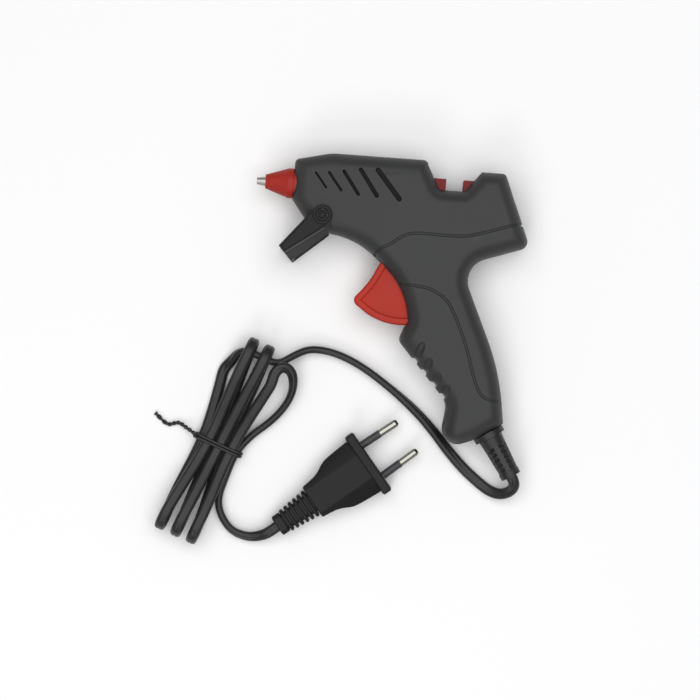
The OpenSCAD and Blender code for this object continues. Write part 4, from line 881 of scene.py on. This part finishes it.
def buildStand(look):
    spot = np.array(look["pivot"])
    parts, rivets, beadFaces = [], [], []
    for sign in (1, -1):
        loops = [cornerOutline(look["panel"], d, look["panelSteps"]) + spot for d, z in look["panelProfile"]]
        parts.append(stackedSections([np.column_stack([loop, np.full(len(loop), z * sign)])
                                      for loop, (d, z) in zip(loops, look["panelProfile"])]))
        top = np.array(look["ridge"]) + [*spot, 0]
        n = len(top)
        low = np.column_stack([top[:, :2], np.full(n, look["low"])])
        faces = [(0, 1, 3, 4), (1, 2, 3), tuple(range(n, 2 * n))]   # two planes above, one below
        faces += [(i, (i + 1) % n, n + (i + 1) % n, n + i) for i in range(n)]
        parts.append((np.concatenate([top, low]) * [1, 1, sign], faces))
        bead = np.array([[*(np.array(b) + spot), look["beadHeight"] * sign] for b in look["bead"]])
        across = unit(np.cross(bead[1] - bead[0], [0, 0, 1.0]))
        done = sum(len(fcs) for pts, fcs in parts)
        parts.append(tubeMesh(bead, np.array([across, across]), roundProfile(look["beadRadius"], look["beadSides"])))
        beadFaces.extend(range(done, done + len(parts[-1][1])))
        parts.append(turnedRing(look["eye"], spot, sign, look["sides"], True))
        rivets.append(turnedRing(look["rivet"], spot, sign, look["sides"], False))
    foot = [(x + spot[0], y + spot[1], r) for x, y, r in look["foot"]]
    parts.append(mirroredSolid(foot, [(0, 0), (0, look["footHalf"])], look["footSteps"]))
    points, faces = joinedMesh(parts)
    arms = meshPiece("standFrame", points, faces, "blackStand", body="stand", smooth=30)
    arms.data.materials.append(finishes["paintedRidgeHighlight"])   # the bead gets a paler, glossier finish: a painted highlight along the ridge
    for i in beadFaces:
        arms.data.polygons[i].material_index = 1
    soften = arms.modifiers.new("softEdges", "BEVEL")
    soften.width = look["soft"]   # metres
    soften.segments = 2
    soften.angle_limit = math.radians(look["softAngle"])
    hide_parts("stand")
    points, faces = joinedMesh(rivets)
    heads = meshPiece("standPivots", points, faces, "blackStand", smooth=30)
    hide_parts("stand_rivets")


buildStand(standLook)
print("stand made")


# the plug: a face plate, a faceted body and a finned relief
def fromPlug(p):
    a = math.radians(plugLook["angle"])
    return (plugLook["at"][0] + p[0] * math.cos(a) - p[1] * math.sin(a),
            plugLook["at"][1] + p[0] * math.sin(a) + p[1] * math.cos(a), plugLook["z"] + p[2])


plugShape = {
    "plate": [(0, 17.4, 1.2), (0, -17.4, 1.2), (-5, -17.4, 1.2), (-5, 17.4, 1.2)],
    "plateProfile": [(0, 0), (0, 5.8), (0.2, 6.5), (0.8, 6.9)],
    # distance behind the face, half width
    "widths": [(-4.4, 15.1), (-7, 15.0), (-11, 14.75), (-15, 14.4), (-18, 14.1), (-20.5, 13.6), (-22.5, 12.8),
               (-24.5, 11.7), (-26.5, 10.7), (-29, 9.9), (-32, 9.45), (-35.9, 9.05), (-36.5, 8.6)],
    "panel": 6.6, "panelEdge": 2.2, "high": 6.1, "slope": 0.36, "edge": 0.7, "corner": 0.8, "bodySteps": 4,
    "rearFrom": -36.2, "rearDrop": 0.5, "plateSteps": 5,
    "fins": 6, "finHalf": (7.6, 6.2), "finHigh": (5.3, 4.2), "finShare": 0.55, "finCorner": 2.4, "finSoft": 0.4,
    "endLen": 4.4, "endHalf": 5.5, "endHigh": 3.8, "endCorner": 2.6, "endSoft": 0.5,
    "root": (5.6, 4.4), "tip": (4.2, 3.1), "rootIn": 0.3, "tipIn": 1,
}


def bodySection(shape, x, half):
    panel = min(shape["panel"], half - shape["panelEdge"])
    drop = shape["rearDrop"] if x < shape["rearFrom"] else 0   # the rear edge is softened
    low = shape["high"] - (half - panel) * shape["slope"] - drop
    high, edge, corner = shape["high"] - drop, shape["edge"], shape["corner"]
    corners = [(-half, -low, corner), (-half, low, corner), (-panel, high, edge), (panel, high, edge),
               (half, low, corner), (half, -low, corner), (panel, -high, edge), (-panel, -high, edge)]
    return [fromPlug((x, q[0], q[1])) for q in cornerOutline(corners, 0, shape["bodySteps"])]


def crossPlate(x, half, high, thick, corner, soft):
    loop = [(-half, -high, corner), (-half, high, corner), (half, high, corner), (half, -high, corner)]
    rings = [(soft, -thick / 2), (0, -thick / 2 + soft), (0, thick / 2 - soft), (soft, thick / 2)]
    loops = [cornerOutline(loop, d, plugShape["plateSteps"]) for d, _ in rings]
    points = [fromPlug((x + s, q[0], q[1])) for ring, (d, s) in zip(loops, rings) for q in ring]
    return np.array(points), cappedFaces(len(loops[0]), len(rings))


def buildPlug(shape):
    plate = mirroredSolid(shape["plate"], shape["plateProfile"], shape["plateSteps"], fromPlug)
    body = stackedSections([bodySection(shape, x, half) for x, half in shape["widths"]])
    points, faces = joinedMesh([plate, body])
    shell = meshPiece("plugShell", points, faces, "blackPlug", smooth=24)
    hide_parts("plug_body")
    parts = []
    rear = -plugLook["bodyLen"]
    far = rear - plugLook["guardLen"]
    share, corner = shape["finShare"], shape["finCorner"]
    pitch = (plugLook["guardLen"] - shape["endLen"]) / shape["fins"]
    for i in range(shape["fins"]):
        u = i / (shape["fins"] - 1)
        half, high = (a + (b - a) * u for a, b in (shape["finHalf"], shape["finHigh"]))
        parts.append(crossPlate(rear - pitch * (i + share), half, high, pitch * share, corner, shape["finSoft"]))
    parts.append(crossPlate(far + shape["endLen"] / 2, shape["endHalf"], shape["endHigh"], shape["endLen"],
                            shape["endCorner"], shape["endSoft"]))
    core = []
    for x, (w, h) in ((rear + shape["rootIn"], shape["root"]), (far + shape["tipIn"], shape["tip"])):
        corners = [(-w, -h, corner), (-w, h, corner), (w, h, corner), (w, -h, corner)]
        loop = cornerOutline(corners, 0, shape["plateSteps"])
        core.append([fromPlug((x, q[0], q[1])) for q in loop])
    parts.append(stackedSections(core))
    points, faces = joinedMesh(parts)
    relief = meshPiece("plugRelief", points, faces, "blackPlug", smooth=40)
    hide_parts("plug_guard")
    return shell, relief


plugPieces = buildPlug(plugShape)
print("plug made")


# CAD nodes keep their shape and get a finish and soft edges, whose width is in mm
nodeEdge = {"segments": 3, "angle": 32}
nodeFinish = {
    "housing_screws": ("plainSteel", 0.15), "nozzle_tip": ("nozzleAlloy", 0.15), "nozzle_cap": ("redSilicone", 0.35),
    "melt_chamber": ("sootyAlloy", 0.2), "heating_tablet": ("tabletCeramic", 0), "contact_upper": ("plainSteel", 0),
    "contact_lower": ("plainSteel", 0), "heater_insulation": ("amberFilm", 0), "heater_clip": ("plainSteel", 0),
    "inlet_sleeve": ("blackTie", 0.2), "sleeve_clamp": ("darkSteel", 0.1), "stick_guide": ("charcoalShell", 0.3),
    # the feed carriage gets the darkened red, which is painted shade
    "feed_carriage": ("redMouldingPaintedShade", 0.35), "feed_gripper": ("plainSteel", 0.1),
    "trigger_pin": ("plainSteel", 0.15), "cord_guard": ("blackSheath", 0.3), "cord_clamp": ("charcoalShell", 0.2),
    "cord_clamp_screws": ("plainSteel", 0.1), "wire_live": ("brownWire", 0), "wire_neutral": ("blueWire", 0),
    "wire_crimps": ("plainSteel", 0.1), "plug_pins": ("nickelPin", 0.2), "plug_pin_sleeves": ("greySleeve", 0.1),
}
for name, (finish, soften) in nodeFinish.items():
    obj = frame["nodes"][name]
    obj.data.materials.clear()
    obj.data.materials.append(finishes[finish])
    if soften:
        edge = obj.modifiers.new("softEdges", "BEVEL")
        edge.width = soften / 1000
        edge.segments = nodeEdge["segments"]
        edge.limit_method = "ANGLE"
        edge.angle_limit = math.radians(nodeEdge["angle"])
    shadeBySharpness(obj, nodeEdge["angle"])
print("nodes finished")


# floor and light
stageLook = {"seen": 0.985, "bounce": 0.55, "rough": 0.9, "shine": 0.1, "size": 3.0, "below": 0.0002, "world": 0.28}
lampLooks = {
    "overLamp": {"place": (0.0, 0.1, 1.6), "aim": (0, 0, 0), "size": 2.0, "power": 24.0},
    "keyLamp": {"place": (-0.25, -1.1, 1.0), "aim": (0, 0, 0), "size": 0.55, "power": 3.5},
}


def buildStage(look):
    mesh = bpy.data.meshes.new("floor")
    h = look["size"]
    z = float(toRow((0, 0, cordLook["floor"]))[2]) - look["below"]
    mesh.from_pydata([(-h, -h, z), (h, -h, z), (h, h, z), (-h, h, z)], [], [(0, 1, 2, 3)])
    obj = bpy.data.objects.new("floor", mesh)
    scene.collection.objects.link(obj)
    mat = bpy.data.materials.new("paleFloor")
    mat.use_nodes = True
    tree = mat.node_tree
    shader = tree.nodes["Principled BSDF"]
    rays = tree.nodes.new("ShaderNodeLightPath")   # white to the eye and in reflections, greyer as a light bounce
    either = tree.nodes.new("ShaderNodeMath")
    either.operation = "MAXIMUM"
    tree.links.new(rays.outputs["Is Camera Ray"], either.inputs[0])
    tree.links.new(rays.outputs["Is Glossy Ray"], either.inputs[1])
    anyOf = tree.nodes.new("ShaderNodeMath")
    anyOf.operation = "MAXIMUM"
    tree.links.new(either.outputs[0], anyOf.inputs[0])
    tree.links.new(rays.outputs["Is Transmission Ray"], anyOf.inputs[1])
    shade = tree.nodes.new("ShaderNodeMix")
    shade.data_type = "RGBA"
    shade.inputs["A"].default_value = (look["bounce"], look["bounce"], look["bounce"], 1)
    shade.inputs["B"].default_value = (look["seen"], look["seen"], look["seen"], 1)
    tree.links.new(anyOf.outputs[0], shade.inputs["Factor"])
    tree.links.new(shade.outputs["Result"], shader.inputs["Base Color"])
    shader.inputs["Roughness"].default_value = look["rough"]
    shader.inputs["Specular IOR Level"].default_value = look["shine"]
    mesh.materials.append(mat)
    world = bpy.data.worlds.new("studio")
    scene.world = world
    world.use_nodes = True
    sky = world.node_tree.nodes["Background"]
    sky.inputs["Color"].default_value = (1, 1, 1, 1)
    sky.inputs["Strength"].default_value = look["world"]


def softLamp(name, look):
    data = bpy.data.lights.new(name, "AREA")
    data.shape = "SQUARE"
    data.size = look["size"]
    data.energy = look["power"]
    obj = bpy.data.objects.new(name, data)
    scene.collection.objects.link(obj)
    obj.location = look["place"]
    obj.rotation_euler = (Vector(look["aim"]) - Vector(look["place"])).to_track_quat("-Z", "Y").to_euler()


buildStage(stageLook)
for name, look in lampLooks.items():
    softLamp(name, look)
print("stage lit")
